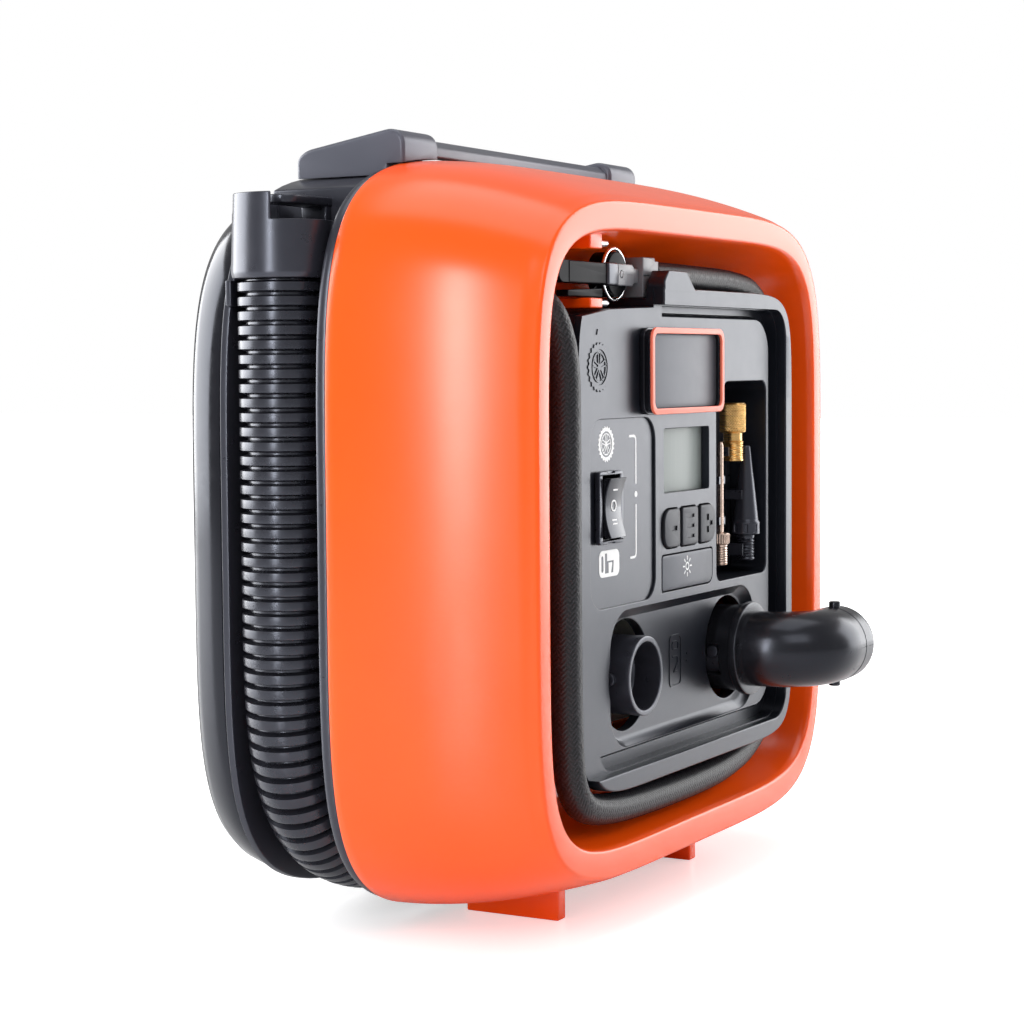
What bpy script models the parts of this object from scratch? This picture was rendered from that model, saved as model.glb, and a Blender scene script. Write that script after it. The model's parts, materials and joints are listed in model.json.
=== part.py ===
"""Portable tire inflator: orange front shell, black frame with a ribbed air-bed hose in its groove,
control panel with switch, display, keys, ports and accessories, and the pumps inside.

Lengths are millimetres in the object's own plan: X to the right and Y to the back, seen from the
front, with Y = 0 at the flat front ring and Z = 0 at the ring's centre. to_world() turns them into
metres on the floor, with the origin at the bottom centre of the whole object's box.
"""
import math

import bmesh
import bpy
from mathutils import Matrix, Vector

MM = 0.001
GAP = 0.3                       # what two touching pieces keep between them

SECTION_POINTS = 32             # points round each section of a shell

# Orange front shell
RING_OUT = (106.3, 100.0, 5.5)  # half width, half height and squareness of the ring's outer edge
RING_IN = (98.8, 91.0, 6.3)
SHELL_BACK = (119.3, 113.0, 5.0)
SHELL_RISE = 1.0                # the back edge's centre lies this much above the ring's
SHELL_BACK_Y = 61.0
SHELL_WALL = 2.6
FUNNEL_FLOOR = (86.0, 79.0, 6.0)
FLOOR_OPENING = (66.0, 62.0, 6.0)
FLOOR_Y = 24.0                  # front of the channel floor round the panel
FLOOR_WALL = 2.5
FOOT_X = 48.0
FOOT_WIDTH = 5.0
FOOT_Y = (24.0, 56.0)
FOOT_DROP = 5.0                 # the feet hold the casing this far above the floor
RING_HEIGHT = SHELL_BACK[1] - SHELL_RISE + FOOT_DROP    # of the ring's centre above the floor
FLOOR_Z = -RING_HEIGHT
PARKING_PIN_X = (-54.4, -48.0)  # the part of each pin that stands out of its lug
PARKING_PIN_RADIUS = 1.0
PARKING_PIN_Y = 8.0
PARKING_PIN_Z = (87.4, 69.7)

# Black frame: flange, hose groove, rear lip
FLANGE = (118.6, 112.4, 5.0)
FLANGE_FRONT = SHELL_BACK_Y + GAP
GROOVE_FRONT = 64.6
GROOVE_BACK = 97.3
LIP = (115.5, 109.5, 4.8)
LIP_BACK = 100.0
CORE_OUT = (93.2, 84.2, 4.8)
CORE_WALL = 2.5
SADDLE_TOP = (116.5, 110.5, 5.0)
SADDLE_FOOT_INSET = 5.95        # the saddle's lower corners lie this far inside the core's side
FINGER_HALF_WIDTH = 57.0
FINGER_Y = (66.5, 95.5)
FINGER_FLOOR = 92.0

# Rear cover
REAR_FRONT = LIP_BACK + GAP
REAR_BACK = 119.5
REAR_WALL = 2.6
REAR_OUT = (114.8, 108.8, 4.6)
PAD_DEPTH = 2.5
PAD_HALF_WIDTH = 70.0
PAD_Z = 60.0
PAD_HEIGHT = 26.0
VENT_COUNT = 5
VENT_SIZE = (56.0, 3.0)
VENT_PITCH = 8.0
REAR_FOOT_HALF_WIDTH = 21.0
REAR_FOOT_Y = (101.5, 113.0)

# Carrying handle
HANDLE_HALF_LENGTH = 78.5
HANDLE_BLOCK = 20.5
HANDLE_FRONT = 59.0
HANDLE_BACK = 97.0
HANDLE_RISE = 8.3               # of the handle's top over the shell's
HANDLE_TOP = SHELL_BACK[1] + HANDLE_RISE
HANDLE_BACK_DROP = 4.5          # the blocks' tops slope down this far to the back
HANDLE_BACK_EDGE = 2.2          # height of the chamfer at their back
HANDLE_SINK = 6.5               # the blocks reach this far below the saddle's top, which cuts them
HANDLE_BAR_DEPTH = 13.0
HANDLE_BAR_HEIGHT = 4.6

# Ribbed hose in the groove, its cuffs and the posts that hold them
HOSE_RADIUS = 13.5
HOSE_RIB_DEPTH = 2.4
HOSE_RIB_PITCH = 4.15
HOSE_BORE = 9.6
HOSE_PATH = (107.5, 98.5, 4.4)
HOSE_Y = 82.0
HOSE_TOP_Z = 76.7
CUFF_HEIGHT = 24.3
CUFF_RADIUS = (15.2, 14.5)      # at the bottom and at the top
CUFF_NOTCH_DEPTH = 7.8
SADDLE_CLEARANCE = 2.3          # between the saddle's ends and the cuffs
SADDLE_HALF_WIDTH = HOSE_PATH[0] - CUFF_RADIUS[0] - SADDLE_CLEARANCE
SPIGOT_RADIUS = 12.05           # every spigot that a cuff or the elbow fits over
SPIGOT_BORE = 10.15
SOCKET_BORE = 12.4
ARM_Y = (75.5, 88.5)
ARM_HEIGHT = 4.0

# Panel
PANEL_CENTRE_X = 3.0
PANEL_RIM = (76.8, 74.9, 9.5)
PANEL_SKIRT = (73.7, 71.8, 9.5)
RIM_Y = 0.5
RIM_THICKNESS = 2.5
FACE_Y = 4.0
TROUGH_Y = 8.0
TROUGH_LEFT = -62.0
PANEL_BACK = FLOOR_Y - GAP
TAB = ((-22.8, 70.0), (-22.8, 77.0), (-19.5, 80.2), (-6.7, 80.2), (0.0, 74.5), (0.0, 70.0))
TAB_THICKNESS = 6.2
TOP_LEFT = ((-110.0, 60.6), (-69.4, 65.9), (-53.7, 67.9), (-23.5, 69.2))
RIM_INNER_RIGHT = 74.2
RIM_INNER_BOTTOM = -69.2
RIM_INNER_TOP = 69.8
FACE_RIGHT = 67.3
FACE_BOTTOM = -63.8
FACE_TOP = 66.5
BAY_X = (23.5, 65.0)
BAY_Z = (-19.0, 45.8)
BAY_BACK = 19.0
BAY_CHAMFER = 8.0

# Badge
BADGE_CENTRE = (-7.0, 49.6)
BADGE_SIZE = (53.6, 26.3)
BADGE_PROUD = 3.6
BADGE_FRAME_WIDTH = 1.8
BADGE_RADIUS = 3.4

# Switch
SWITCH_PLATE_X = (-66.5, -22.8)
SWITCH_PLATE_Z = (-20.0, 35.6)
SWITCH_PLATE_DEPTH = 0.8
SWITCH_CENTRE = (-55.0, 9.7)
BEZEL_SIZE = (15.8, 21.4)
BEZEL_PROUD = 1.6
ROCKER_SIZE = (10.6, 17.6)
ROCKER_AXIS_Y = 7.0
SWITCH_BODY_BACK = 22.0

# Display and keys
DISPLAY_X = (-16.4, 17.5)
DISPLAY_Z = (11.8, 31.7)
BOARD_Y = 15.0
BOARD_THICKNESS = 1.6
KEY_Z = (-5.3, 6.7)
KEY_X = ((-18.0, -6.4), (-4.8, 7.3), (9.0, 20.6))
LIGHT_KEY_X = (-18.1, 19.8)
LIGHT_KEY_Z = (-18.6, -7.6)
KEY_PROUD = 0.9
KEY_TRAVEL = 0.8
POCKET_GAP = 0.35
KEY_FLANGE = 1.0

# Ports and the elbow
PORT_X = 38.0
PORT_Z = -42.0
PORT_FRONT = 0.0
PORT_HOLE = 17.0
PORT_RECESS_Y = 7.0
PORT_RECESS_X = (-54.0, 54.0)
PORT_RECESS_Z = (-63.0, -22.0)
PORT_FLANGE = (16.5, 2.2)       # radius and thickness
LUG_SETBACK = 6.2               # from a spigot's end to its bayonet lugs
LUG_RADIUS = 1.9
LUG_PROUD = 1.5
SLEEVE_RADIUS = 14.1
SLEEVE_BACK = 14.5
ELBOW_LIP_RADIUS = 15.3
ELBOW_LIP = 2.6
ELBOW_TUBE_RADIUS = 12.4
ELBOW_BEND = 15.6
ELBOW_REACH = 28.5              # from the port's axis to the elbow's outer end
ELBOW_FRONT = -22.2             # Y of the axis of the elbow's outer arm
ELBOW_TURN = 25.0               # degrees of turn between locked and free

# Air hose, its chuck and its fitting
AIR_HOSE_RADIUS = 4.7
AIR_HOSE_ROUTE = (
    (-11.2, 12.0, 78.8), (4.0, 12.4, 78.9), (25.0, 12.6, 78.7), (53.0, 12.6, 78.0), (70.0, 12.5, 75.0),
    (80.8, 12.5, 64.0), (84.8, 12.5, 42.0), (85.6, 12.5, 0.0),
    (84.0, 12.0, -48.0), (77.8, 11.5, -67.5), (62.0, 10.5, -78.0), (38.0, 9.0, -82.0),
    (12.0, 8.4, -83.0), (-20.0, 8.0, -82.7), (-46.0, 7.4, -81.4), (-64.0, 6.7, -78.4),
    (-72.6, 6.3, -73.6), (-77.2, 6.0, -64.0), (-79.1, 5.7, -42.0), (-79.4, 5.6, 0.0),
    (-79.3, 5.6, 38.0), (-79.5, 5.8, 50.0), (-80.0, 7.0, 59.0), (-80.0, 10.2, 66.6), (-80.0, 15.8, 71.3),
    (-80.0, 19.5, 72.0),
)
FITTING_RADIUS = 6.0
FITTING_BACK = 32.0
CHUCK_FRONT = 8.0
CHUCK_BACK = 14.0
CHUCK_Z = 78.7
NOSE_X = -37.0                  # the chuck's round nose, its ring and the lever's pin
NOSE_RADIUS = 6.8
NOSE_FRONT = 9.6
NOSE_BACK = 16.5
CHUCK_RING_Y = 10.8
CHUCK_RING_RADIUS = 7.75
CHUCK_RING_WIRE = 0.55
RING_SLOT = 1.3                 # half width of the body's slots that the ring passes through
LEVER_PIN = 1.5
CHUCK_LEVER_TURN = 3.0          # degrees that the lower lever rises when squeezed
LEVER_END = -71.0               # the free end of the lower lever
NECK_END = -22.8                # where the chuck's neck meets the ferrule

# Accessories
ACCESSORY_Y = 9.2
NEEDLE_X = 38.5
PRESTA_X = 48.6
CONE_X = 59.6
PULL_OUT = 26.0

# Chassis and pumps inside
CHASSIS = (73.0, 69.0, 8.0)
CHASSIS_FRONT = FLOOR_Y + FLOOR_WALL + GAP
CHASSIS_WALL = 3.0
CHASSIS_BACK = CHASSIS_FRONT + CHASSIS_WALL
DRUM_RADIUS = 33.0
DRUM_BACK = 58.0
HOUSING_WALL = 2.0
IMPELLER_RADIUS = 28.0
IMPELLER_BLADES = 6
BLOWER_MOTOR_RADIUS = 17.0
BLOWER_MOTOR_BACK = 92.0
SHAFT_RADIUS = 2.2
PUMP_MOTOR = (-48.0, 22.0)
PUMP_MOTOR_RADIUS = 18.0
PUMP_MOTOR_BACK = 92.0
GEAR_MODULE = 1.5
PINION_TEETH = 10
WHEEL_TEETH = 25
GEAR_Y = (46.0, 53.5)
PLATE_Y = (54.6, 57.0)
CRANK_RADIUS = 6.0
ROD_Y = (41.0, 45.0)
ROD_LENGTH = 36.0
PISTON_RADIUS = 9.6
PISTON_HEIGHT = 10.0
BORE_RADIUS = 10.0
CYLINDER_Z = (47.0, 70.0)
CYLINDER_AXIS_Y = 43.0

WHEEL_CENTRE = (PUMP_MOTOR[0] + GEAR_MODULE * (PINION_TEETH + WHEEL_TEETH) / 2, PUMP_MOTOR[1])
GEAR_RATIO = PINION_TEETH / WHEEL_TEETH
ELBOW_NEAREST = ELBOW_FRONT - ELBOW_TUBE_RADIUS
MIDDLE_Y = (ELBOW_NEAREST + REAR_BACK + PAD_DEPTH) / 2

COLOURS = {
    "orange_plastic": ((0.95, 0.14, 0.02), 0.38, 0.0),
    "black_plastic": ((0.016, 0.016, 0.018), 0.45, 0.0),
    "panel_plastic": ((0.035, 0.036, 0.042), 0.42, 0.0),
    "gloss_black": ((0.012, 0.012, 0.014), 0.22, 0.0),
    "rubber": ((0.014, 0.014, 0.014), 0.7, 0.0),
    "woven_black": ((0.012, 0.012, 0.013), 0.85, 0.0),
    "badge_orange": ((0.9, 0.16, 0.07), 0.4, 0.0),
    "display": ((0.42, 0.46, 0.43), 0.25, 0.0),
    "chrome": ((0.8, 0.8, 0.82), 0.15, 1.0),
    "brass": ((0.72, 0.45, 0.16), 0.28, 1.0),
    "nickel": ((0.62, 0.5, 0.42), 0.3, 1.0),
    "steel": ((0.55, 0.56, 0.58), 0.35, 1.0),
    "board_green": ((0.02, 0.16, 0.06), 0.5, 0.0),
    "nylon": ((0.75, 0.74, 0.68), 0.5, 0.0),
    "alloy": ((0.6, 0.6, 0.6), 0.45, 1.0),
}


# ---------------------------------------------------------------- helpers

def to_world(x, y, z):
    return Vector((x, y - MIDDLE_Y, z + RING_HEIGHT)) * MM


PLAN_TO_WORLD = Matrix.Translation(to_world(0, 0, 0)) @ Matrix.Scale(MM, 4)


def material(name):
    found = bpy.data.materials.get(name)
    if found:
        return found
    colour, roughness, metallic = COLOURS[name]
    made = bpy.data.materials.new(name)
    made.use_nodes = True
    shader = made.node_tree.nodes["Principled BSDF"]
    shader.inputs["Base Color"].default_value = (*colour, 1.0)
    shader.inputs["Roughness"].default_value = roughness
    shader.inputs["Metallic"].default_value = metallic
    made.diffuse_color = (*colour, 1.0)
    return made


def add_object(name, mesh, finish=None, origin=None):
    """Link a mesh whose points are in the plan, with its origin at a point of the plan."""
    mesh.transform(PLAN_TO_WORLD)
    made = bpy.data.objects.new(name, mesh)
    if origin is not None:
        place = to_world(*origin)
        mesh.transform(Matrix.Translation(-place))
        made.location = place
    if finish is None:
        cutters.objects.link(made)
        made.hide_render = True
        made.display_type = "WIRE"
    else:
        parts.objects.link(made)
        mesh.materials.append(material(finish))
        mesh.shade_smooth()
        mesh.set_sharp_from_angle(angle=math.radians(35))
    return made


def mesh_from(bm, name):
    mesh = bpy.data.meshes.new(name)
    bm.to_mesh(mesh)
    bm.free()
    return mesh


def box_mesh(x, y, z, bevel=0.0):
    bm = bmesh.new()
    bmesh.ops.create_cube(bm, size=1.0)
    size = Vector((x[1] - x[0], y[1] - y[0], z[1] - z[0]))
    middle = Vector((x[1] + x[0], y[1] + y[0], z[1] + z[0])) / 2
    bmesh.ops.transform(bm, matrix=Matrix.Translation(middle) @ Matrix.Diagonal((*size, 1)), verts=bm.verts)
    if bevel:
        bmesh.ops.bevel(bm, geom=bm.edges[:], offset=bevel, segments=2, affect="EDGES", profile=0.5)
    return mesh_from(bm, "box")


def box(name, x, y, z, finish=None, origin=None, bevel=0.0):
    return add_object(name, box_mesh(x, y, z, bevel), finish, origin)


AXIS_TURNS = {
    "x": Matrix(((0, 0, 1, 0), (0, 1, 0, 0), (-1, 0, 0, 0), (0, 0, 0, 1))),
    "y": Matrix(((1, 0, 0, 0), (0, 0, 1, 0), (0, -1, 0, 0), (0, 0, 0, 1))),
    "z": Matrix.Identity(4),
}


def rod_mesh(start, radius, length, axis="y", end_radius=None, sides=32):
    """A cylinder or cone from start along +axis."""
    bm = bmesh.new()
    far = radius if end_radius is None else end_radius
    bmesh.ops.create_cone(bm, cap_ends=True, segments=sides, radius1=radius, radius2=far, depth=length)
    lift = Matrix.Translation((0, 0, length / 2))
    bmesh.ops.transform(bm, matrix=Matrix.Translation(start) @ AXIS_TURNS[axis] @ lift, verts=bm.verts)
    return mesh_from(bm, "rod")


def rod(name, start, radius, length, axis="y", finish=None, origin=None, end_radius=None, sides=32):
    mesh = rod_mesh(start, radius, length, axis, end_radius, sides)
    return add_object(name, mesh, finish, origin)


def turned(name, start, profile, axis="y", finish=None, origin=None, steps=32, closed=False):
    """Turn a profile of (radius, distance along +axis), listed down its outer side.

    The profile is an open line that begins and ends on the axis, or a closed loop for a ring."""
    bm = bmesh.new()
    verts = [bm.verts.new((radius, 0, height)) for radius, height in profile]
    pairs = list(zip(verts, verts[1:]))
    if closed:
        pairs.append((verts[-1], verts[0]))
    for pair in pairs:
        bm.edges.new(pair)
    made = bpy.data.objects.new(name, mesh_from(bm, name))
    bpy.context.scene.collection.objects.link(made)
    screw = made.modifiers.new("Turn", "SCREW")
    screw.steps = screw.render_steps = steps
    screw.use_merge_vertices = True
    screw.merge_threshold = 0.0001
    screw.use_normal_calculate = True
    mesh = evaluated_mesh(made)
    mesh.transform(Matrix.Translation(start) @ AXIS_TURNS[axis])
    return add_object(name, mesh, finish, origin)


def evaluated_mesh(maker, weld=0.0001):
    """The maker's final mesh with its own matrix applied and its caps welded. The maker is removed."""
    bpy.context.view_layer.update()
    graph = bpy.context.evaluated_depsgraph_get()
    mesh = bpy.data.meshes.new_from_object(maker.evaluated_get(graph))
    mesh.transform(maker.matrix_world)
    mesh.materials.clear()
    bpy.data.objects.remove(maker)
    bm = bmesh.new()
    bm.from_mesh(mesh)
    bmesh.ops.remove_doubles(bm, verts=bm.verts, dist=weld)
    bmesh.ops.recalc_face_normals(bm, faces=bm.faces)
    bm.to_mesh(mesh)
    bm.free()
    return mesh


SLAB_TURNS = {
    "y": Matrix(((1, 0, 0, 0), (0, 0, -1, 0), (0, 1, 0, 0), (0, 0, 0, 1))),
    "x": Matrix(((0, 0, 1, 0), (1, 0, 0, 0), (0, 1, 0, 0), (0, 0, 0, 1))),
    "z": Matrix.Identity(4),
}


def slab(name, outline, across, axis="y", finish=None, origin=None, round_edge=0.0, holes=()):
    """An outline with thickness: (x, z) across Y, (y, z) across X, or (x, y) across Z."""
    curve = bpy.data.curves.new(name, "CURVE")
    curve.dimensions = "2D"
    curve.fill_mode = "BOTH"
    for points in (outline, *holes):
        spline = curve.splines.new("POLY")
        spline.points.add(len(points) - 1)
        for point, (first, second) in zip(spline.points, points):
            point.co = (first, second, 0, 1)
        spline.use_cyclic_u = True
    curve.extrude = (across[1] - across[0]) / 2 - round_edge
    if round_edge:
        curve.bevel_depth = round_edge
        curve.bevel_resolution = 1
        curve.offset = -round_edge
    made = bpy.data.objects.new(name, curve)
    bpy.context.scene.collection.objects.link(made)
    middle = (across[0] + across[1]) / 2
    shift = {"y": (0, middle, 0), "x": (middle, 0, 0), "z": (0, 0, middle)}[axis]
    made.matrix_world = Matrix.Translation(shift) @ SLAB_TURNS[axis]
    return add_object(name, evaluated_mesh(made), finish, origin)


def tube(name, points, radius, finish=None, origin=None, resolution=2, radii=None):
    curve = bpy.data.curves.new(name, "CURVE")
    curve.dimensions = "3D"
    curve.bevel_depth = radius
    curve.bevel_resolution = resolution
    curve.use_fill_caps = True
    spline = curve.splines.new("POLY")
    spline.points.add(len(points) - 1)
    for index, (point, place) in enumerate(zip(spline.points, points)):
        point.co = (*place, 1)
        point.radius = radii[index] / radius if radii else 1.0
    made = bpy.data.objects.new(name, curve)
    bpy.context.scene.collection.objects.link(made)
    return add_object(name, evaluated_mesh(made), finish, origin)


def superellipse(shape, centre=(0.0, 0.0), count=SECTION_POINTS):
    """Points (x, z) of |x/a|^n + |z/b|^n = 1, close together at the corners."""
    half_width, half_height, power = shape
    points = []
    for step in range(count):
        angle = 2 * math.pi * step / count
        across = math.copysign(abs(math.cos(angle)) ** (2 / power), math.cos(angle))
        up = math.copysign(abs(math.sin(angle)) ** (2 / power), math.sin(angle))
        points.append((centre[0] + half_width * across, centre[1] + half_height * up))
    return points


def height_at(shape, x):
    half_width, half_height, power = shape
    return half_height * (1 - abs(x / half_width) ** power) ** (1 / power)


def grown(shape, amount):
    return (shape[0] + amount, shape[1] + amount, shape[2])


def between(first, second, share):
    return tuple(a + (b - a) * share for a, b in zip(first, second))


def loft(name, sections, finish=None, closed=False):
    """A solid through sections of (shape, centre height, y): a ring when closed, else capped."""
    bm = bmesh.new()
    rings = []
    for shape, rise, y in sections:
        rings.append([bm.verts.new((x, y, z)) for x, z in superellipse(shape, (0.0, rise))])
    pairs = list(zip(rings, rings[1:]))
    if closed:
        pairs.append((rings[-1], rings[0]))
    else:
        bm.faces.new(rings[0])
        bm.faces.new(rings[-1][::-1])
    for near, far in pairs:
        for step in range(len(near)):
            after = (step + 1) % len(near)
            bm.faces.new((near[step], far[step], far[after], near[after]))
    bmesh.ops.recalc_face_normals(bm, faces=bm.faces)
    return add_object(name, mesh_from(bm, name), finish)


def rounded_rectangle(x, z, radius, corner_points=4):
    """Points (x, z) round a rectangle; radius is one number or four, from the lower right on."""
    radii = radius if isinstance(radius, tuple) else (radius,) * 4
    corners = ((x[1], z[0], -90), (x[1], z[1], 0), (x[0], z[1], 90), (x[0], z[0], 180))
    points = []
    for (corner_x, corner_z, start), size in zip(corners, radii):
        middle_x = corner_x - math.copysign(size, corner_x - (x[0] + x[1]) / 2)
        middle_z = corner_z - math.copysign(size, corner_z - (z[0] + z[1]) / 2)
        count = corner_points if size else 1
        for step in range(count):
            angle = math.radians(start + 90 * step / max(count - 1, 1))
            points.append((middle_x + size * math.cos(angle), middle_z + size * math.sin(angle)))
    return points


def circle(centre, radius, count=32, start=0.0):
    turn = 2 * math.pi / count
    return [(centre[0] + radius * math.cos(start + turn * k), centre[1] + radius * math.sin(start + turn * k))
            for k in range(count)]


def smooth_route(route, per_span):
    """Points on a smooth curve through a route's own points."""
    places = [Vector(place) for place in route]
    ends = [2 * places[0] - places[1]] + places + [2 * places[-1] - places[-2]]
    points = []
    for before, start, end, after in zip(ends, ends[1:], ends[2:], ends[3:]):
        for step in range(per_span):
            t = step / per_span
            points.append(0.5 * (2 * start + (end - before) * t
                                 + (2 * before - 5 * start + 4 * end - after) * t * t
                                 + (3 * start - before - 3 * end + after) * t ** 3))
    points.append(places[-1])
    return points


def cut(target, *tools):
    for tool in tools:
        modifier = target.modifiers.new("Cut " + tool.name, "BOOLEAN")
        modifier.operation = "DIFFERENCE"
        modifier.object = tool
    return target


def join(target, *others):
    for other in others:
        modifier = target.modifiers.new("Join " + other.name, "BOOLEAN")
        modifier.operation = "UNION"
        modifier.object = other
    return target


# ---------------------------------------------------------------- casing

def shell_outer(share):
    """Section of the orange shell's outside, from the ring (0) to its back edge (1)."""
    swell = 1 - (1 - share) ** 1.8
    return between(RING_OUT, SHELL_BACK, swell), SHELL_RISE * swell, share * SHELL_BACK_Y


def front_shell():
    face_back = SHELL_WALL
    sections = [(grown(RING_OUT, -1.2), 0.0, 0.0)]
    shares = (0.03, 0.2, 0.5, 1.0)
    sections += [shell_outer(share) for share in shares]
    inner_shares = (1.0, 0.4, 0.06)
    for share in inner_shares:
        shape, rise, y = shell_outer(share)
        sections.append((grown(shape, -SHELL_WALL), rise, max(y, face_back)))
    sections += [
        (grown(RING_IN, SHELL_WALL + 0.4), 0.0, face_back),
        (grown(between(RING_IN, FUNNEL_FLOOR, 0.36), SHELL_WALL), 0.0, 18.5),
        (grown(FUNNEL_FLOOR, 1.8), 0.0, FLOOR_Y + FLOOR_WALL),
        (FLOOR_OPENING, 0.0, FLOOR_Y + FLOOR_WALL),
        (FLOOR_OPENING, 0.0, FLOOR_Y),
        (FUNNEL_FLOOR, 0.0, FLOOR_Y),
        (between(RING_IN, FUNNEL_FLOOR, 0.7), 0.0, 21.6),
        (between(RING_IN, FUNNEL_FLOOR, 0.36), 0.0, 17.0),
        (between(RING_IN, FUNNEL_FLOOR, 0.14), 0.0, 10.0),
        (RING_IN, 0.0, 0.0),
    ]
    shell = loft("front_shell", sections, "orange_plastic", closed=True)
    foot_top = -height_at(RING_OUT, FOOT_X) + 1.0
    for side in (-1, 1):
        span = sorted((side * (FOOT_X - FOOT_WIDTH / 2), side * (FOOT_X + FOOT_WIDTH / 2)))
        join(shell, box("foot_blade", span, FOOT_Y, (FLOOR_Z, foot_top - 2.0)))
    lug_x = (PARKING_PIN_X[0] - 8.0, PARKING_PIN_X[0])
    for height, below, above in zip(PARKING_PIN_Z, (2.0, 1.6), (2.6, 1.4)):
        join(shell, box("pin_lug", lug_x, (PARKING_PIN_Y - 2.2, FLOOR_Y + 1.0), (height - below, height + above)))
        seat = (lug_x[0] + 3.0, PARKING_PIN_Y, height)
        cut(shell, rod("pin_seat", seat, PARKING_PIN_RADIUS + GAP, 9.0, "x", sides=12))
    end = AIR_HOSE_ROUTE[-1]
    return cut(shell, rod("fitting_hole", (end[0], end[1] - 9.0, end[2]), FITTING_RADIUS + GAP, 30.0, sides=16))


def parking_pins():
    start = PARKING_PIN_X[0] - 4.7
    for name, height in zip(("parking_pin_upper", "parking_pin_lower"), PARKING_PIN_Z):
        rod(name, (start, PARKING_PIN_Y, height), PARKING_PIN_RADIUS, PARKING_PIN_X[1] - start, "x", "steel", sides=12)


def core_inner():
    return grown(CORE_OUT, -CORE_WALL)


def mid_frame():
    inner = core_inner()
    rise = SHELL_RISE
    frame = loft("mid_frame", [
        (inner, 0.0, FLANGE_FRONT),
        (FLANGE, rise, FLANGE_FRONT),
        (FLANGE, rise, GROOVE_FRONT),
        (CORE_OUT, 0.0, GROOVE_FRONT),
        (CORE_OUT, 0.0, GROOVE_BACK),
        (LIP, 0.0, GROOVE_BACK),
        (LIP, 0.0, LIP_BACK),
        (inner, 0.0, LIP_BACK),
    ], "black_plastic", closed=True)
    join(frame, saddle())
    cut(frame, box("finger_pocket", (-FINGER_HALF_WIDTH, FINGER_HALF_WIDTH), FINGER_Y, (FINGER_FLOOR, 130.0)))
    for side in (-1, 1):
        join(frame, *hose_post(side))
    return frame


def saddle():
    """The solid top of the frame between flange and lip, under the handle."""
    half = SADDLE_HALF_WIDTH
    base = grown(CORE_OUT, -CORE_WALL / 2)
    steps = 10
    top = [(half - 2 * half * k / steps) for k in range(steps + 1)]
    outline = [(x, SHELL_RISE / 2 + height_at(SADDLE_TOP, x)) for x in top]
    foot = base[0] - SADDLE_FOOT_INSET
    bottom = [(-foot + 2 * foot * k / steps) for k in range(steps + 1)]
    outline += [(x, height_at(base, x)) for x in bottom]
    return slab("saddle", outline, (GROOVE_FRONT - 0.5, GROOVE_BACK + 0.5))


def hose_post(side):
    """A spigot that hangs from an arm of the saddle, for a hose cuff."""
    axis_x = side * HOSE_PATH[0]
    arm_top = CUFF_TOP
    arm_x = sorted((side * (SADDLE_HALF_WIDTH - 3.0), axis_x + side * 6.5))
    arm = box("post_arm", arm_x, ARM_Y, (arm_top - ARM_HEIGHT, arm_top))
    stub_low = arm_top - 17.0
    stub = rod("post_stub", (axis_x, HOSE_Y, stub_low), SPIGOT_RADIUS, arm_top - 1.0 - stub_low, "z", sides=24)
    bore = rod("post_bore", (axis_x, HOSE_Y, stub_low - 1.0), SPIGOT_BORE, 13.0, "z", sides=24)
    return arm, cut(stub, bore)


CUFF_TOP = HOSE_TOP_Z + GAP + CUFF_HEIGHT


def rear_cover():
    back = REAR_BACK
    outside = [
        (REAR_OUT, 0.0, REAR_FRONT),
        (grown(REAR_OUT, -1.8), 0.0, REAR_FRONT + 9.5),
        (grown(REAR_OUT, -6.0), 0.0, back - 5.0),
        (grown(REAR_OUT, -15.0), 0.0, back),
    ]
    wall = REAR_WALL
    inside = [
        (grown(REAR_OUT, -wall), 0.0, REAR_FRONT - 1.0),
        (grown(REAR_OUT, -wall - 3.4), 0.0, REAR_FRONT + 11.0),
        (grown(REAR_OUT, -wall - 14.0), 0.0, back - wall),
    ]
    cover = loft("rear_cover", outside, "gloss_black")
    cut(cover, loft("rear_hollow", inside))
    for low in (PAD_Z, -PAD_Z - PAD_HEIGHT):
        pad = box("rear_pad", (-PAD_HALF_WIDTH, PAD_HALF_WIDTH), (back - 1.0, back + PAD_DEPTH),
                  (low, low + PAD_HEIGHT))
        join(cover, pad)
    first = -VENT_PITCH * (VENT_COUNT - 1) / 2
    for row in range(VENT_COUNT):
        height = first + VENT_PITCH * row
        slot = (height - VENT_SIZE[1] / 2, height + VENT_SIZE[1] / 2)
        cut(cover, box("vent", (-VENT_SIZE[0] / 2, VENT_SIZE[0] / 2), (back - 6.0, back + 2.0), slot))
    for place in REAR_SCREWS:
        cut(cover, rod("screw_hole", (place[0], back - 6.0, place[1]), SCREW_SHANK + GAP, 12.0, sides=10))
    cut(cover, rod("gland_hole", (GLAND[0], back - 6.0, GLAND[1]), GLAND_RADIUS + GAP, 12.0, sides=20))
    return cover


REAR_SCREWS = ((-80.0, 48.0), (80.0, 48.0), (-80.0, -48.0), (80.0, -48.0))
SCREW_SHANK = 1.6
SCREW_HEAD = 3.6
GLAND = (52.0, -42.0)
GLAND_RADIUS = 5.0


def rear_screws():
    """Pan head screws on the rear cover, with their shanks through its wall."""
    seat = REAR_BACK + GAP
    for number, (x, z) in enumerate(REAR_SCREWS, 1):
        turned(f"rear_screw_{number}", (x, 0.0, z), [
            (0, seat + 2.0), (SCREW_HEAD, seat + 1.2), (SCREW_HEAD, seat),
            (SCREW_SHANK, seat), (SCREW_SHANK, REAR_BACK - REAR_WALL - 2.0), (0, REAR_BACK - REAR_WALL - 2.0),
        ], "y", "steel", steps=8)


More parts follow.
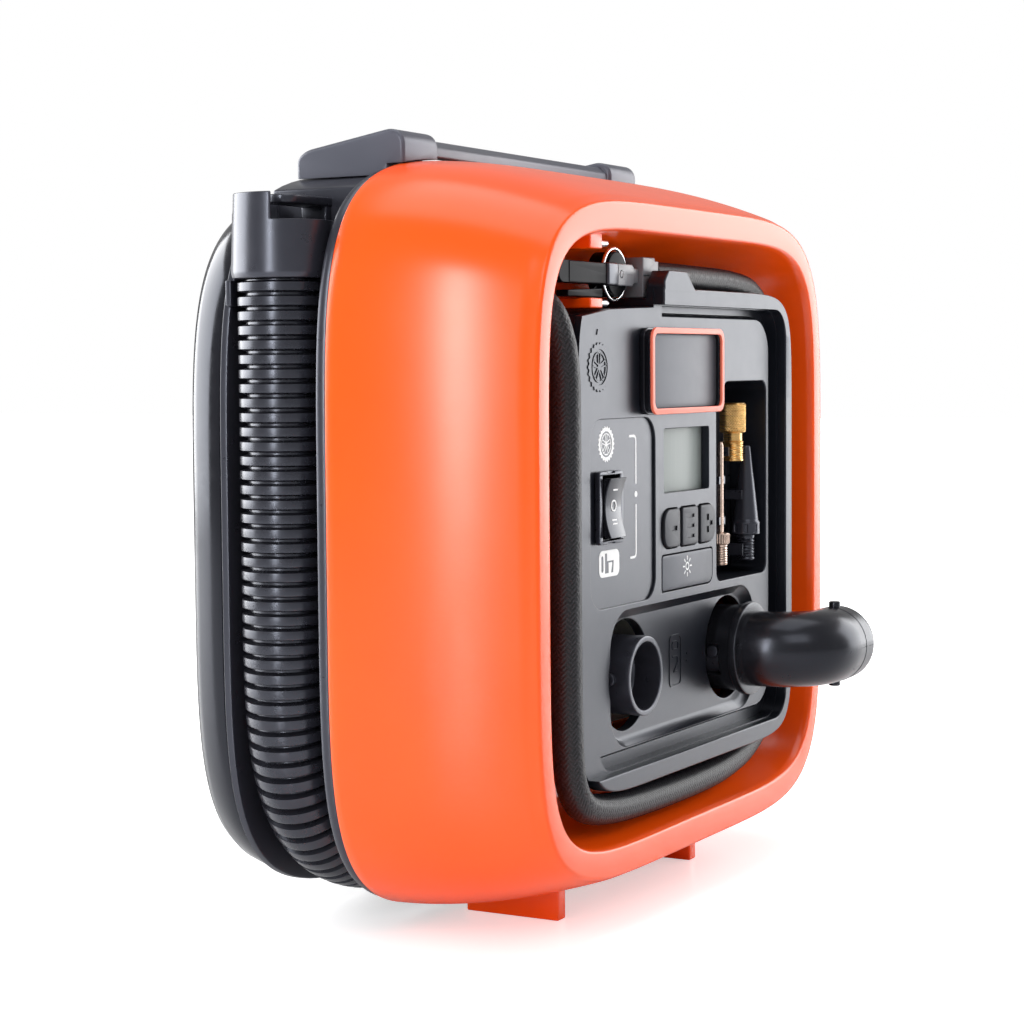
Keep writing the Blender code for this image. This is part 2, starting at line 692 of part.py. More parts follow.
def cord_gland():
    """The outlet of the supply cord in the rear cover."""
    back = REAR_BACK
    return turned("cord_gland", (GLAND[0], 0.0, GLAND[1]), [
        (3.2, back + 2.4), (GLAND_RADIUS, back + 2.4), (GLAND_RADIUS + 2.4, back + 1.4),
        (GLAND_RADIUS + 2.4, back + GAP), (GLAND_RADIUS, back + GAP), (GLAND_RADIUS, back - REAR_WALL - 2.5),
        (3.2, back - REAR_WALL - 2.5),
    ], "y", "rubber", steps=12, closed=True)


def rear_foot():
    top = -height_at(REAR_OUT, 0.0) - GAP
    foot_x = (-REAR_FOOT_HALF_WIDTH, REAR_FOOT_HALF_WIDTH)
    return box("rear_foot", foot_x, REAR_FOOT_Y, (FLOOR_Z, top), "rubber")


def carry_handle():
    bar_back = HANDLE_FRONT + HANDLE_BAR_DEPTH
    low = HANDLE_TOP - HANDLE_BAR_HEIGHT
    bar_profile = [(HANDLE_FRONT + 1.5, low), (bar_back, low), (bar_back, HANDLE_TOP - 1.8),
                   (bar_back - 2.0, HANDLE_TOP), (HANDLE_FRONT + 4.5, HANDLE_TOP),
                   (HANDLE_FRONT + 1.5, HANDLE_TOP - 2.2)]
    inner = HANDLE_HALF_LENGTH - HANDLE_BLOCK
    handle = slab("carry_handle", bar_profile, (-inner - 1.0, inner + 1.0), "x", "black_plastic")
    seat = SADDLE_TOP[1] - HANDLE_SINK
    back_top = HANDLE_TOP - HANDLE_BACK_DROP
    block_profile = [(HANDLE_FRONT, seat), (HANDLE_BACK, seat), (HANDLE_BACK, back_top - HANDLE_BACK_EDGE),
                     (HANDLE_BACK - 3.5, back_top), (HANDLE_FRONT + 5.0, HANDLE_TOP),
                     (HANDLE_FRONT + 1.8, HANDLE_TOP - 0.9), (HANDLE_FRONT, HANDLE_TOP - 3.4)]
    for side in (-1, 1):
        span = sorted((side * inner, side * HANDLE_HALF_LENGTH))
        join(handle, slab("handle_block", block_profile, span, "x", round_edge=1.2))
    over_shell = superellipse(grown(SHELL_BACK, GAP + 0.05), (0.0, SHELL_RISE))
    cut(handle, slab("shell_clearance", over_shell, (50.0, GROOVE_FRONT + GAP)))
    over_saddle = superellipse(grown(SADDLE_TOP, GAP + 0.05), (0.0, SHELL_RISE / 2))
    cut(handle, slab("saddle_clearance", over_saddle, (GROOVE_FRONT, 110.0)))
    return handle


# ---------------------------------------------------------------- ribbed hose

def volume_hose_route():
    """Down the left side, along the bottom and up the right side, at half a rib's step."""
    step = HOSE_RIB_PITCH / 2
    half_width, half_height, power = HOSE_PATH
    dense = [Vector((-half_width, HOSE_Y, HOSE_TOP_Z)), Vector((-half_width, HOSE_Y, HOSE_TOP_Z / 2))]
    count = 240
    for k in range(count + 1):
        angle = math.pi + math.pi * k / count
        across = math.copysign(abs(math.cos(angle)) ** (2 / power), math.cos(angle))
        up = -abs(math.sin(angle)) ** (2 / power)
        dense.append(Vector((half_width * across, HOSE_Y, half_height * up)))
    dense += [Vector((half_width, HOSE_Y, HOSE_TOP_Z / 2)), Vector((half_width, HOSE_Y, HOSE_TOP_Z))]
    lengths = [0.0]
    for first, second in zip(dense, dense[1:]):
        lengths.append(lengths[-1] + (second - first).length)
    ribs = round(lengths[-1] / step / 2)
    points = []
    index = 0
    for k in range(2 * ribs + 1):
        target = lengths[-1] * k / (2 * ribs)
        while index < len(lengths) - 2 and lengths[index + 1] < target:
            index += 1
        share = (target - lengths[index]) / (lengths[index + 1] - lengths[index])
        points.append(dense[index].lerp(dense[index + 1], share))
    return points


def volume_hose():
    points = volume_hose_route()
    root = HOSE_RADIUS - HOSE_RIB_DEPTH
    radii = [root if k % 2 == 0 else HOSE_RADIUS for k in range(len(points))]
    hose = tube("volume_hose", points, HOSE_RADIUS, "rubber", radii=radii)
    first_run = points[0] + Vector((0, 0, 2.0))
    last_run = points[-1] + Vector((0, 0, 2.0))
    bore_points = [first_run] + points[::6] + [last_run]
    bore = tube("hose_bore", bore_points, HOSE_BORE)
    return cut(hose, bore)


def hose_cuff(name, side):
    """The bayonet cuff at an end of the ribbed hose, pushed over a post's spigot."""
    bottom = HOSE_TOP_Z + GAP
    top = bottom + CUFF_HEIGHT
    start = (side * HOSE_PATH[0], HOSE_Y, 0.0)
    cuff = turned(name, start, [
        (SOCKET_BORE, top), (CUFF_RADIUS[1], top), (CUFF_RADIUS[0], bottom), (HOSE_BORE, bottom),
        (HOSE_BORE, bottom + 2.5), (SOCKET_BORE, bottom + 2.5),
    ], "z", "black_plastic", steps=18, closed=True)
    notch_low = top - CUFF_NOTCH_DEPTH
    facing = math.radians(-60.0)
    reach = CUFF_RADIUS[0] + 4.0
    mesh = box_mesh((-2.5, reach), (-reach, reach), (notch_low, top + 5.0))
    turn = Matrix.Rotation(facing, 4, "Z")
    mirror = Matrix.Diagonal((-side, 1, 1, 1))
    mesh.transform(Matrix.Translation(start) @ mirror @ turn)
    if side > 0:
        mesh.flip_normals()
    return cut(cuff, add_object("cuff_notch", mesh))


# ---------------------------------------------------------------- panel

def front_panel():
    skirt = superellipse(PANEL_SKIRT, (PANEL_CENTRE_X, 0.0), 28)
    rim = superellipse(PANEL_RIM, (PANEL_CENTRE_X, 0.0), 28)
    panel = slab("front_panel", skirt, (RIM_Y + RIM_THICKNESS - 1.0, PANEL_BACK), finish="panel_plastic")
    join(panel, slab("rim", rim, (RIM_Y, FACE_Y + RIM_THICKNESS)))
    join(panel, slab("tab", TAB, (RIM_Y, RIM_Y + TAB_THICKNESS)))
    corner_x = TAB[0][0] - 0.4
    above = [(TOP_LEFT[-1][0], 100.0), (TOP_LEFT[0][0], 100.0)]
    cut(panel, slab("top_left_step", list(TOP_LEFT) + above, (-10.0, 60.0)))
    far = TOP_LEFT[0][0]
    lowered = rounded_rectangle((far, RIM_INNER_RIGHT), (RIM_INNER_BOTTOM, RIM_INNER_TOP), (9.0, 9.0, 0.0, 0.0))
    lowered[-2:-2] = [(corner_x, RIM_INNER_TOP), (corner_x, 99.0)]
    lowered[-2] = (far, 99.0)
    cut(panel, slab("face_level", lowered, (-10.0, FACE_Y)))
    step = 0.3
    trough = slab("trough", rounded_rectangle(
        (TROUGH_LEFT, RIM_INNER_RIGHT - step), (RIM_INNER_BOTTOM + step, RIM_INNER_TOP - step), (9.0, 9.0, 2.0, 9.0)),
        (FACE_Y - 2.0, TROUGH_Y))
    island = slab("island", rounded_rectangle((far, FACE_RIGHT), (FACE_BOTTOM, FACE_TOP), (11.0, 11.0, 0.0, 0.0)),
                  (-20.0, TROUGH_Y + 5.0))
    keep_left = box("keep_left", (far, TAB[0][0] + 5.0), (-20.0, TROUGH_Y + 5.0), (FACE_TOP - 4.0, 90.0))
    cut(trough, join(island, keep_left))
    cut(panel, trough)
    plate = rounded_rectangle(SWITCH_PLATE_X, SWITCH_PLATE_Z, 7.0)
    cut(panel, slab("switch_recess", plate, (-8.0, FACE_Y + SWITCH_PLATE_DEPTH)))
    cut(panel, port_recess())
    cut(panel, accessory_bay())
    cut(panel, *panel_hollows())
    for side in (-1, 1):
        cut(panel, rod("port_hole", (side * PORT_X, -5.0, PORT_Z), PORT_HOLE, 25.0, sides=24))
    cut(panel, *key_openings())
    screen = rounded_rectangle(DISPLAY_X, DISPLAY_Z, 0.8, 2)
    cut(panel, slab("display_opening", screen, (-5.0, 12.0)))
    opening = rounded_rectangle(
        (SWITCH_CENTRE[0] - BEZEL_SIZE[0] / 2 + 1.2, SWITCH_CENTRE[0] + BEZEL_SIZE[0] / 2 - 1.2),
        (SWITCH_CENTRE[1] - BEZEL_SIZE[1] / 2 + 1.2, SWITCH_CENTRE[1] + BEZEL_SIZE[1] / 2 - 1.2), 0.5, 2)
    cut(panel, slab("switch_opening", opening, (-5.0, 12.0)))
    return panel


FACE_WALL = 2.6
CAVITY_Y = FACE_Y + FACE_WALL
LOWER_CAVITY_Y = TROUGH_Y + 2.2


def panel_hollows():
    """The open back of the panel: three rooms with walls between them."""
    left = PANEL_CENTRE_X - PANEL_SKIRT[0] + 2.6
    right = PANEL_CENTRE_X + PANEL_SKIRT[0] - 2.6
    behind = PANEL_BACK + 3.0
    rooms = (
        ((left, BAY_X[0] - 1.8), (-19.7, FACE_TOP - 2.6), (2.0, 2.0, 9.0, 2.0), CAVITY_Y),
        ((left, right), (-PANEL_SKIRT[1] + 2.6, -21.8), (14.0, 2.0, 2.0, 14.0), LOWER_CAVITY_Y),
        ((BAY_X[0], right), (BAY_Z[1] + 3.0, PANEL_SKIRT[1] - 3.0), (2.0, 14.0, 2.0, 2.0), LOWER_CAVITY_Y),
    )
    return [slab("hollow", rounded_rectangle(x, z, radii, 3), (front, behind)) for x, z, radii, front in rooms]


def port_recess():
    """A shallow pan with sloping walls round both ports."""
    bm = bmesh.new()
    rings = []
    for y, inset in ((FACE_Y - 4.0, -3.4), (PORT_RECESS_Y, 3.0)):
        x = (PORT_RECESS_X[0] + inset, PORT_RECESS_X[1] - inset)
        z = (PORT_RECESS_Z[0] + inset * 0.8, PORT_RECESS_Z[1] - inset * 0.8)
        outline = rounded_rectangle(x, z, 12.0 - inset)
        rings.append([bm.verts.new((px, y, pz)) for px, pz in outline])
    bm.faces.new(rings[0])
    bm.faces.new(rings[1][::-1])
    count = len(rings[0])
    for step in range(count):
        after = (step + 1) % count
        bm.faces.new((rings[0][step], rings[1][step], rings[1][after], rings[0][after]))
    bmesh.ops.recalc_face_normals(bm, faces=bm.faces)
    return add_object("port_recess", mesh_from(bm, "port_recess"))


def accessory_bay():
    outline = rounded_rectangle(BAY_X, BAY_Z, (3.5, 3.5, 0.0, 3.5), 3)
    corner = outline.index(min(outline, key=lambda p: (p[0] - BAY_X[0]) ** 2 + (p[1] - BAY_Z[1]) ** 2))
    outline[corner:corner + 1] = [(BAY_X[0] + BAY_CHAMFER, BAY_Z[1]), (BAY_X[0], BAY_Z[1] - BAY_CHAMFER)]
    return slab("accessory_bay", outline, (-6.0, BAY_BACK))


def key_openings():
    openings = []
    for x in KEY_X:
        grow = POCKET_GAP
        outline = rounded_rectangle((x[0] - grow, x[1] + grow), (KEY_Z[0] - grow, KEY_Z[1] + grow), 1.2, 2)
        openings.append(slab("key_opening", outline, (-5.0, 12.0)))
    grow = POCKET_GAP
    outline = rounded_rectangle((LIGHT_KEY_X[0] - grow, LIGHT_KEY_X[1] + grow),
                                (LIGHT_KEY_Z[0] - grow, LIGHT_KEY_Z[1] + grow), 1.2, 2)
    openings.append(slab("light_opening", outline, (-5.0, 12.0)))
    return openings


def badge_plate():
    half_width = BADGE_SIZE[0] / 2
    half_height = BADGE_SIZE[1] / 2
    x = (BADGE_CENTRE[0] - half_width, BADGE_CENTRE[0] + half_width)
    z = (BADGE_CENTRE[1] - half_height, BADGE_CENTRE[1] + half_height)
    front = FACE_Y - BADGE_PROUD
    edge = BADGE_FRAME_WIDTH
    plate = slab("badge_plate", rounded_rectangle(x, z, BADGE_RADIUS, 3), (front, FACE_Y - GAP), finish="gloss_black")
    sunk = rounded_rectangle((x[0] + edge, x[1] - edge), (z[0] + edge, z[1] - edge), BADGE_RADIUS - edge + 0.6, 3)
    cut(plate, slab("badge_sunk", sunk, (front - 2.0, front + 1.4)))
    return plate


def badge_frame():
    half_width = BADGE_SIZE[0] / 2
    half_height = BADGE_SIZE[1] / 2
    x = (BADGE_CENTRE[0] - half_width, BADGE_CENTRE[0] + half_width)
    z = (BADGE_CENTRE[1] - half_height, BADGE_CENTRE[1] + half_height)
    edge = BADGE_FRAME_WIDTH
    front = FACE_Y - BADGE_PROUD - GAP
    hole = rounded_rectangle((x[0] + edge, x[1] - edge), (z[0] + edge, z[1] - edge), BADGE_RADIUS - edge + 0.6, 3)
    return slab("badge_frame", rounded_rectangle(x, z, BADGE_RADIUS, 3), (front - 0.8, front),
                finish="badge_orange", holes=(hole,))


def switch_housing():
    centre_x, centre_z = SWITCH_CENTRE
    surface = FACE_Y + SWITCH_PLATE_DEPTH
    half_width = BEZEL_SIZE[0] / 2
    half_height = BEZEL_SIZE[1] / 2
    x = (centre_x - half_width, centre_x + half_width)
    z = (centre_z - half_height, centre_z + half_height)
    bezel = slab("switch_housing", rounded_rectangle(x, z, 1.2, 3),
                 (surface - GAP - BEZEL_PROUD, surface - GAP), finish="black_plastic")
    clear = 1.2 + GAP
    body_x = (x[0] + clear, x[1] - clear)
    body_z = (z[0] + clear, z[1] - clear)
    join(bezel, box("switch_body", body_x, (surface - GAP - 0.5, SWITCH_BODY_BACK), body_z))
    well_x = (centre_x - ROCKER_SIZE[0] / 2 - 0.5, centre_x + ROCKER_SIZE[0] / 2 + 0.5)
    well_z = (centre_z - ROCKER_SIZE[1] / 2 - 0.9, centre_z + ROCKER_SIZE[1] / 2 + 0.9)
    cut(bezel, box("rocker_well", well_x, (-5.0, 14.0), well_z))
    return bezel


def rocker():
    """A rocker with a hollow front, turning on pins across its middle."""
    centre_x, centre_z = SWITCH_CENTRE
    half = ROCKER_SIZE[1] / 2
    tip = FACE_Y - 3.6
    middle = FACE_Y - 1.6
    deep = ROCKER_AXIS_Y + 3.0
    profile = [(deep, centre_z - 3.5), (ROCKER_AXIS_Y - 1.5, centre_z - half + 0.3), (tip, centre_z - half)]
    steps = 8
    for k in range(1, steps):
        share = k / steps
        bow = 1 - (2 * share - 1) ** 2
        profile.append((tip + (middle - tip) * bow, centre_z - half + 2 * half * share))
    profile += [(tip, centre_z + half), (ROCKER_AXIS_Y - 1.5, centre_z + half - 0.3), (deep, centre_z + 3.5)]
    span = (centre_x - ROCKER_SIZE[0] / 2, centre_x + ROCKER_SIZE[0] / 2)
    origin = (centre_x, ROCKER_AXIS_Y, centre_z)
    return slab("rocker", profile, span, "x", "gloss_black", origin)


def display_parts():
    window = slab("display_window", rounded_rectangle(
        (DISPLAY_X[0] - 1.2, DISPLAY_X[1] + 1.2), (DISPLAY_Z[0] - 1.2, DISPLAY_Z[1] + 1.2), 1.0, 3),
        (CAVITY_Y + GAP, CAVITY_Y + GAP + 1.2), finish="display")
    front = CAVITY_Y + GAP + 1.2 + GAP
    module = box("display_module", (DISPLAY_X[0] - 1.8, DISPLAY_X[1] + 1.8),
                 (front, BOARD_Y - GAP), (DISPLAY_Z[0] - 3.0, DISPLAY_Z[1] + 2.2), "nylon")
    return window, module


def control_board():
    board = box("control_board", (-21.0, BAY_X[0] - 3.0), (BOARD_Y, BOARD_Y + BOARD_THICKNESS), (-18.4, 36.0),
                "board_green")
    for x in KEY_X:
        middle = sum(x) / 2
        dome_front = KEY_BASE_BACK + KEY_TRAVEL + 0.1
        dome = rod("key_dome", (middle, dome_front, sum(KEY_Z) / 2), 2.2, BOARD_Y + 0.5 - dome_front, sides=8)
        join(board, dome)
    light_front = KEY_BASE_BACK + KEY_TRAVEL + 0.1
    join(board, rod("light_dome", (sum(LIGHT_KEY_X) / 2, light_front, sum(LIGHT_KEY_Z) / 2), 2.2,
                    BOARD_Y + 0.5 - light_front, sides=8))
    for x, z in ((-12.0, 34.2), (12.0, 34.2)):
        post = rod("board_post", (x, BOARD_Y + BOARD_THICKNESS - 0.4, z), 2.0,
                   CHASSIS_FRONT - GAP - BOARD_Y - BOARD_THICKNESS + 0.4, sides=8)
        join(board, post)
    return board


KEY_BASE_BACK = CAVITY_Y + GAP + KEY_FLANGE


def key(name, x, z, radii):
    """A key cap through the panel, with a wider base behind it that keeps it in."""
    front = FACE_Y - KEY_PROUD
    origin = (sum(x) / 2, front, sum(z) / 2)
    cap = slab(name, rounded_rectangle(x, z, radii, 3), (front, CAVITY_Y + GAP + 0.3), finish="rubber", origin=origin)
    edge = POCKET_GAP + 0.3
    base = box("key_base", (x[0] - edge, x[1] + edge), (CAVITY_Y + GAP, KEY_BASE_BACK), (z[0] - edge, z[1] + edge))
    return join(cap, base)


def keys():
    radii = ((1.0, 1.0, 4.0, 4.0), 1.0, (4.0, 4.0, 1.0, 1.0))
    names = ("key_minus", "key_unit", "key_plus")
    made = [key(name, x, KEY_Z, radius) for name, x, radius in zip(names, KEY_X, radii)]
    front = FACE_Y - 0.1
    origin = (sum(LIGHT_KEY_X) / 2, front, sum(LIGHT_KEY_Z) / 2)
    light = slab("key_light", rounded_rectangle(LIGHT_KEY_X, LIGHT_KEY_Z, (3.0, 1.2, 1.2, 1.2), 3),
                 (front, CAVITY_Y + GAP + 0.3), finish="rubber", origin=origin)
    edge = POCKET_GAP + 0.3
    base = box("light_base", (LIGHT_KEY_X[0] - edge, LIGHT_KEY_X[1] + edge), (CAVITY_Y + GAP, KEY_BASE_BACK),
               (LIGHT_KEY_Z[0] - edge + 0.2, LIGHT_KEY_Z[1] + edge))
    made.append(join(light, base))
    return made


# ---------------------------------------------------------------- ports and elbow

def lug(x, y, z, radius_out, direction):
    """A short round bayonet lug that stands out from a spigot along one axis."""
    start = SPIGOT_RADIUS - 1.0
    length = radius_out - start
    if direction == "x+":
        return rod("lug", (x + start, y, z), LUG_RADIUS, length, "x", sides=12)
    if direction == "x-":
        return rod("lug", (x - radius_out, y, z), LUG_RADIUS, length, "x", sides=12)
    if direction == "z+":
        return rod("lug", (x, y, z + start), LUG_RADIUS, length, "z", sides=12)
    return rod("lug", (x, y, z - radius_out), LUG_RADIUS, length, "z", sides=12)


def port(name, side):
    x = side * PORT_X
    flange_radius, flange = PORT_FLANGE
    back = CHASSIS_FRONT - GAP
    made = turned(name, (x, 0.0, PORT_Z), [
        (SPIGOT_BORE, back), (flange_radius, back), (flange_radius, back - flange),
        (SPIGOT_RADIUS, back - flange), (SPIGOT_RADIUS, PORT_FRONT), (SPIGOT_BORE, PORT_FRONT),
    ], "y", "black_plastic", steps=18, closed=True)
    reach = SPIGOT_RADIUS + LUG_PROUD
    for direction in ("x-", "x+"):
        join(made, lug(x, PORT_FRONT + LUG_SETBACK, PORT_Z, reach, direction))
    return made


def elbow_adaptor():
    """Sleeve over the right port's spigot, a tight bend, and a spigot to the right."""
    origin = (PORT_X, PORT_FRONT + LUG_SETBACK, PORT_Z)
    sleeve = turned("elbow_adaptor", (PORT_X, 0.0, PORT_Z), [
        (0, -GAP), (SOCKET_BORE, -GAP), (SOCKET_BORE, SLEEVE_BACK), (SLEEVE_RADIUS, SLEEVE_BACK),
        (SLEEVE_RADIUS, 0.0), (ELBOW_LIP_RADIUS, 0.0), (ELBOW_LIP_RADIUS, -ELBOW_LIP), (0, -ELBOW_LIP),
    ], "y", "black_plastic", origin, steps=22)
    bend_start = ELBOW_FRONT + ELBOW_BEND
    end_x = PORT_X + ELBOW_REACH
    path = []
    steps = 5
    for k in range(steps + 1):
        angle = math.pi / 2 * k / steps
        path.append((PORT_X + ELBOW_BEND * (1 - math.cos(angle)),
                     bend_start - ELBOW_BEND * math.sin(angle), PORT_Z))
    body_path = [(PORT_X, -ELBOW_LIP / 2, PORT_Z)] + path + [(end_x, ELBOW_FRONT, PORT_Z)]
    body = tube("elbow_tube", body_path, ELBOW_TUBE_RADIUS, resolution=3)
    bore_path = [(PORT_X, 4.0, PORT_Z)] + path + [(end_x + 2.0, ELBOW_FRONT, PORT_Z)]
    bore = tube("elbow_bore", bore_path, SPIGOT_BORE - 0.6, resolution=2)
    lug_x = end_x - LUG_SETBACK + 1.0
    for direction in ("z+", "z-"):
        join(body, lug(lug_x, ELBOW_FRONT, PORT_Z, SPIGOT_RADIUS + LUG_PROUD + 0.6, direction))
    cut(sleeve, *bayonet_slots())
    join(sleeve, body)
    return cut(sleeve, bore)


def sector(start, end, inner, outer, count=5):
    """Outline of part of a ring about the right port's axis, between two angles in degrees."""
    angles = [math.radians(start + (end - start) * k / (count - 1)) for k in range(count)]
    far = [(PORT_X + outer * math.cos(a), PORT_Z + outer * math.sin(a)) for a in angles]
    near = [(PORT_X + inner * math.cos(a), PORT_Z + inner * math.sin(a)) for a in angles[::-1]]
    return far + near


def bayonet_slots():
    """Slots for the port's lugs: from the sleeve's back to the lugs' plane, then round by the turn."""
    half = LUG_RADIUS + 0.4
    plane = PORT_FRONT + LUG_SETBACK
    reach = SLEEVE_RADIUS + 3.0
    inner = SPIGOT_RADIUS - 0.2
    spread = math.degrees(half / SLEEVE_RADIUS)
    slots = []
    for side in (0.0, 180.0):
        free = side + ELBOW_TURN
        lock = sector(side - spread, free + spread, inner, reach)
        entry = sector(free - spread, free + spread - 0.4, inner - 0.2, reach + 0.5, 3)
        slots.append(slab("lock_slot", lock, (plane - half, plane + half)))
        slots.append(slab("entry_slot", entry, (plane, SLEEVE_BACK + 2.0)))
    return slots


# ---------------------------------------------------------------- air hose and chuck

def air_hose():
    return tube("air_hose", smooth_route(AIR_HOSE_ROUTE, 2), AIR_HOSE_RADIUS, "woven_black", resolution=2)


def air_fitting():
    """The round fitting in the funnel's corner that the air hose ends in."""
    end = AIR_HOSE_ROUTE[-1]
    front = end[1] + GAP
    return turned("air_fitting", (end[0], 0.0, end[2]), [
        (0, FITTING_BACK), (2.0, FITTING_BACK), (2.0, FITTING_BACK - 4.0), (FITTING_RADIUS, FITTING_BACK - 4.4),
        (FITTING_RADIUS, front), (0, front),
    ], "y", "black_plastic", steps=16)


def chuck_y(inset=0.0):
    return CHUCK_FRONT + inset, CHUCK_BACK - inset


def hose_ferrule():
    """The stepped block between the chuck's neck and the hose."""
    start = NECK_END + GAP
    end = AIR_HOSE_ROUTE[0][0] - GAP
    ferrule = box("hose_ferrule", (start, end), (CHUCK_FRONT, CHUCK_FRONT + 8.0), (CHUCK_Z - 6.7, CHUCK_Z + 5.7),
                  "panel_plastic")
    for low, high in ((CHUCK_Z - 12.0, CHUCK_Z - 0.2), (CHUCK_Z + 4.6, CHUCK_Z + 12.0)):
        cut(ferrule, box("ferrule_step", (end - 2.6, end + 5.0), (0.0, 30.0), (low, high)))
    return ferrule


def chuck_body():
    """Upper paddle with a round end, collar, stepped neck, and the round nose behind them."""
    low, high = CHUCK_Z - 3.3, CHUCK_Z + 3.1
    paddle = rounded_rectangle((-76.4, NOSE_X), (low, high), (0.0, 0.0, 3.1, 3.1), 5)
    body = slab("chuck_body", paddle, chuck_y(0.6), finish="gloss_black")
    collar = box("chuck_collar", (-46.0, -39.2), chuck_y(), (low - 0.2, high + 0.2))
    neck = box("chuck_neck", (-39.6, -29.0), chuck_y(0.2), (low - 0.1, high))
    step = box("chuck_step", (-29.6, NECK_END), chuck_y(1.4), (low + 1.0, high - 1.0))
    join(body, collar, neck, step)
    for side in (-1, 1):
        middle = NOSE_X + side * (CHUCK_RING_RADIUS - 0.4)
        slot_y = (CHUCK_RING_Y - CHUCK_RING_WIRE - GAP, CHUCK_BACK + 2.0)
        cut(body, box("ring_slot", (middle - RING_SLOT, middle + RING_SLOT), slot_y, (low - 3.0, high + 3.0)))
    nose = rod("chuck_nose", (NOSE_X, NOSE_FRONT, CHUCK_Z), NOSE_RADIUS, NOSE_BACK - NOSE_FRONT, sides=18)
    bore = rod("nose_bore", (NOSE_X, CHUCK_BACK + 0.5, CHUCK_Z), 3.9, 12.0, sides=12)
    join(body, cut(nose, bore))
    return cut(body, rod("pin_bore", (NOSE_X, 0.0, CHUCK_Z), LEVER_PIN + GAP, 30.0, sides=12))


def chuck_pin():
    start = CHUCK_FRONT - 2.2
    return rod("chuck_pin", (NOSE_X, start, CHUCK_Z), LEVER_PIN, CHUCK_BACK - start, "y", "steel", sides=12)


def chuck_lever():
    """The lower lever, whose arm rises in front of the neck to the pin."""
    origin = (NOSE_X, CHUCK_FRONT - 1.0, CHUCK_Z)
    paddle_low = CHUCK_Z - 3.3
    rise = (NOSE_X - LEVER_END) * math.sin(math.radians(CHUCK_LEVER_TURN))
    end_top = paddle_low - GAP - rise
    grip = [(LEVER_END + 0.8, end_top - 1.9), (-48.0, 71.5), (-48.0, 74.2), (LEVER_END + 0.9, end_top),
            (LEVER_END, end_top - 0.8), (LEVER_END, end_top - 1.3)]
    lever = slab("chuck_lever", grip, chuck_y(1.0), finish="gloss_black", origin=origin)
    front = (CHUCK_FRONT - 1.6, CHUCK_FRONT - 0.5)
    arm = [(-54.0, 71.7), (-48.6, 71.7), (NOSE_X + 1.6, CHUCK_Z - 2.8), (NOSE_X + 2.8, CHUCK_Z), (NOSE_X, CHUCK_Z + 2.8),
           (NOSE_X - 2.2, CHUCK_Z + 1.2), (-48.6, 74.0), (-54.0, 74.0)]
    join(lever, slab("lever_arm", arm, front))
    join(lever, box("arm_root", (-54.0, -49.0), (front[0], CHUCK_FRONT + 3.0), (71.7, 74.0)))
    return cut(lever, rod("arm_bore", (NOSE_X, 0.0, CHUCK_Z), LEVER_PIN + GAP, 30.0, sides=12))


def chuck_ring():
    """The round wire spring round the nose, through the slots behind the collar and the neck."""
    steps = 15
    points = []
    for k in range(steps + 1):
        angle = math.radians(-165 + 330 * k / steps)
        points.append((NOSE_X + CHUCK_RING_RADIUS * math.cos(angle), CHUCK_RING_Y,
                       CHUCK_Z + CHUCK_RING_RADIUS * math.sin(angle)))
    return tube("chuck_ring", points, CHUCK_RING_WIRE, "chrome", resolution=1)


# ---------------------------------------------------------------- accessories

def presta_adapter():
    top = 38.6
    origin = (PRESTA_X, ACCESSORY_Y, top - 19.3)
    return turned("presta_adapter", (PRESTA_X, ACCESSORY_Y, 0.0), [
        (0, top), (4.1, top), (4.4, top - 0.4), (4.4, top - 9.7), (3.2, top - 10.1),
        (3.2, top - 12.6), (3.6, top - 12.9), (3.6, top - 19.3), (0, top - 19.3),
    ], "z", "brass", origin, steps=14)


def ball_needle():
    top = 26.0
    origin = (NEEDLE_X, ACCESSORY_Y, 0.0)
    return turned("ball_needle", (NEEDLE_X, ACCESSORY_Y, 0.0), [
        (0, top), (0.6, top - 0.3), (0.95, top - 1.4), (0.95, -4.0), (3.0, -4.6), (3.0, -7.6),
        (2.3, -8.2), (2.3, -15.0), (0, -15.0),
    ], "z", "nickel", origin, steps=12)


def taper_nozzle():
    top = 24.0
    origin = (CONE_X, ACCESSORY_Y, 0.0)
    return turned("taper_nozzle", (CONE_X, ACCESSORY_Y, 0.0), [
        (0, top), (1.6, top), (4.3, -1.0), (4.8, -2.0), (4.8, -5.8), (3.0, -6.4), (3.0, -14.8), (0, -14.8),
    ], "z", "black_plastic", origin, steps=14)


def accessory_clips():
    """Snap clips on the bay's back wall: a backing bar and two fingers beside each piece."""
    back = BAY_BACK - GAP
    clips = box("accessory_clips", (NEEDLE_X - 4.5, CONE_X + 4.6), (back - 1.6, back), (BAY_Z[0] + 2.0, BAY_Z[1] - 10.5),
                "black_plastic")
    seats = (
        (NEEDLE_X, 0.95, (12.0, 14.5)), (NEEDLE_X, 0.95, (-1.5, 1.0)),
        (PRESTA_X, 3.6, (21.0, 24.0)), (CONE_X, 3.0, (-13.0, -9.0)), (CONE_X, 3.6, (6.0, 9.0)),
    )
    for x, radius, z in seats:
        inner = radius + GAP
        for side in (-1, 1):
            span = sorted((x + side * inner, x + side * (inner + 1.1)))
            join(clips, box("clip_finger", span, (ACCESSORY_Y - 0.6, back - 1.0), z))
    return clips


# ---------------------------------------------------------------- inside

def chassis_plate():
    outline = superellipse(CHASSIS, count=20)
    plate = slab("chassis_plate", outline, (CHASSIS_FRONT, CHASSIS_BACK), finish="nylon")
    for side in (-1, 1):
        cut(plate, rod("air_way", (side * PORT_X, 20.0, PORT_Z), SPIGOT_BORE, 20.0, sides=16))
    cut(plate, box("cable_way", (-16.0, 16.0), (20.0, 40.0), (-14.0, -2.0)))
    return plate


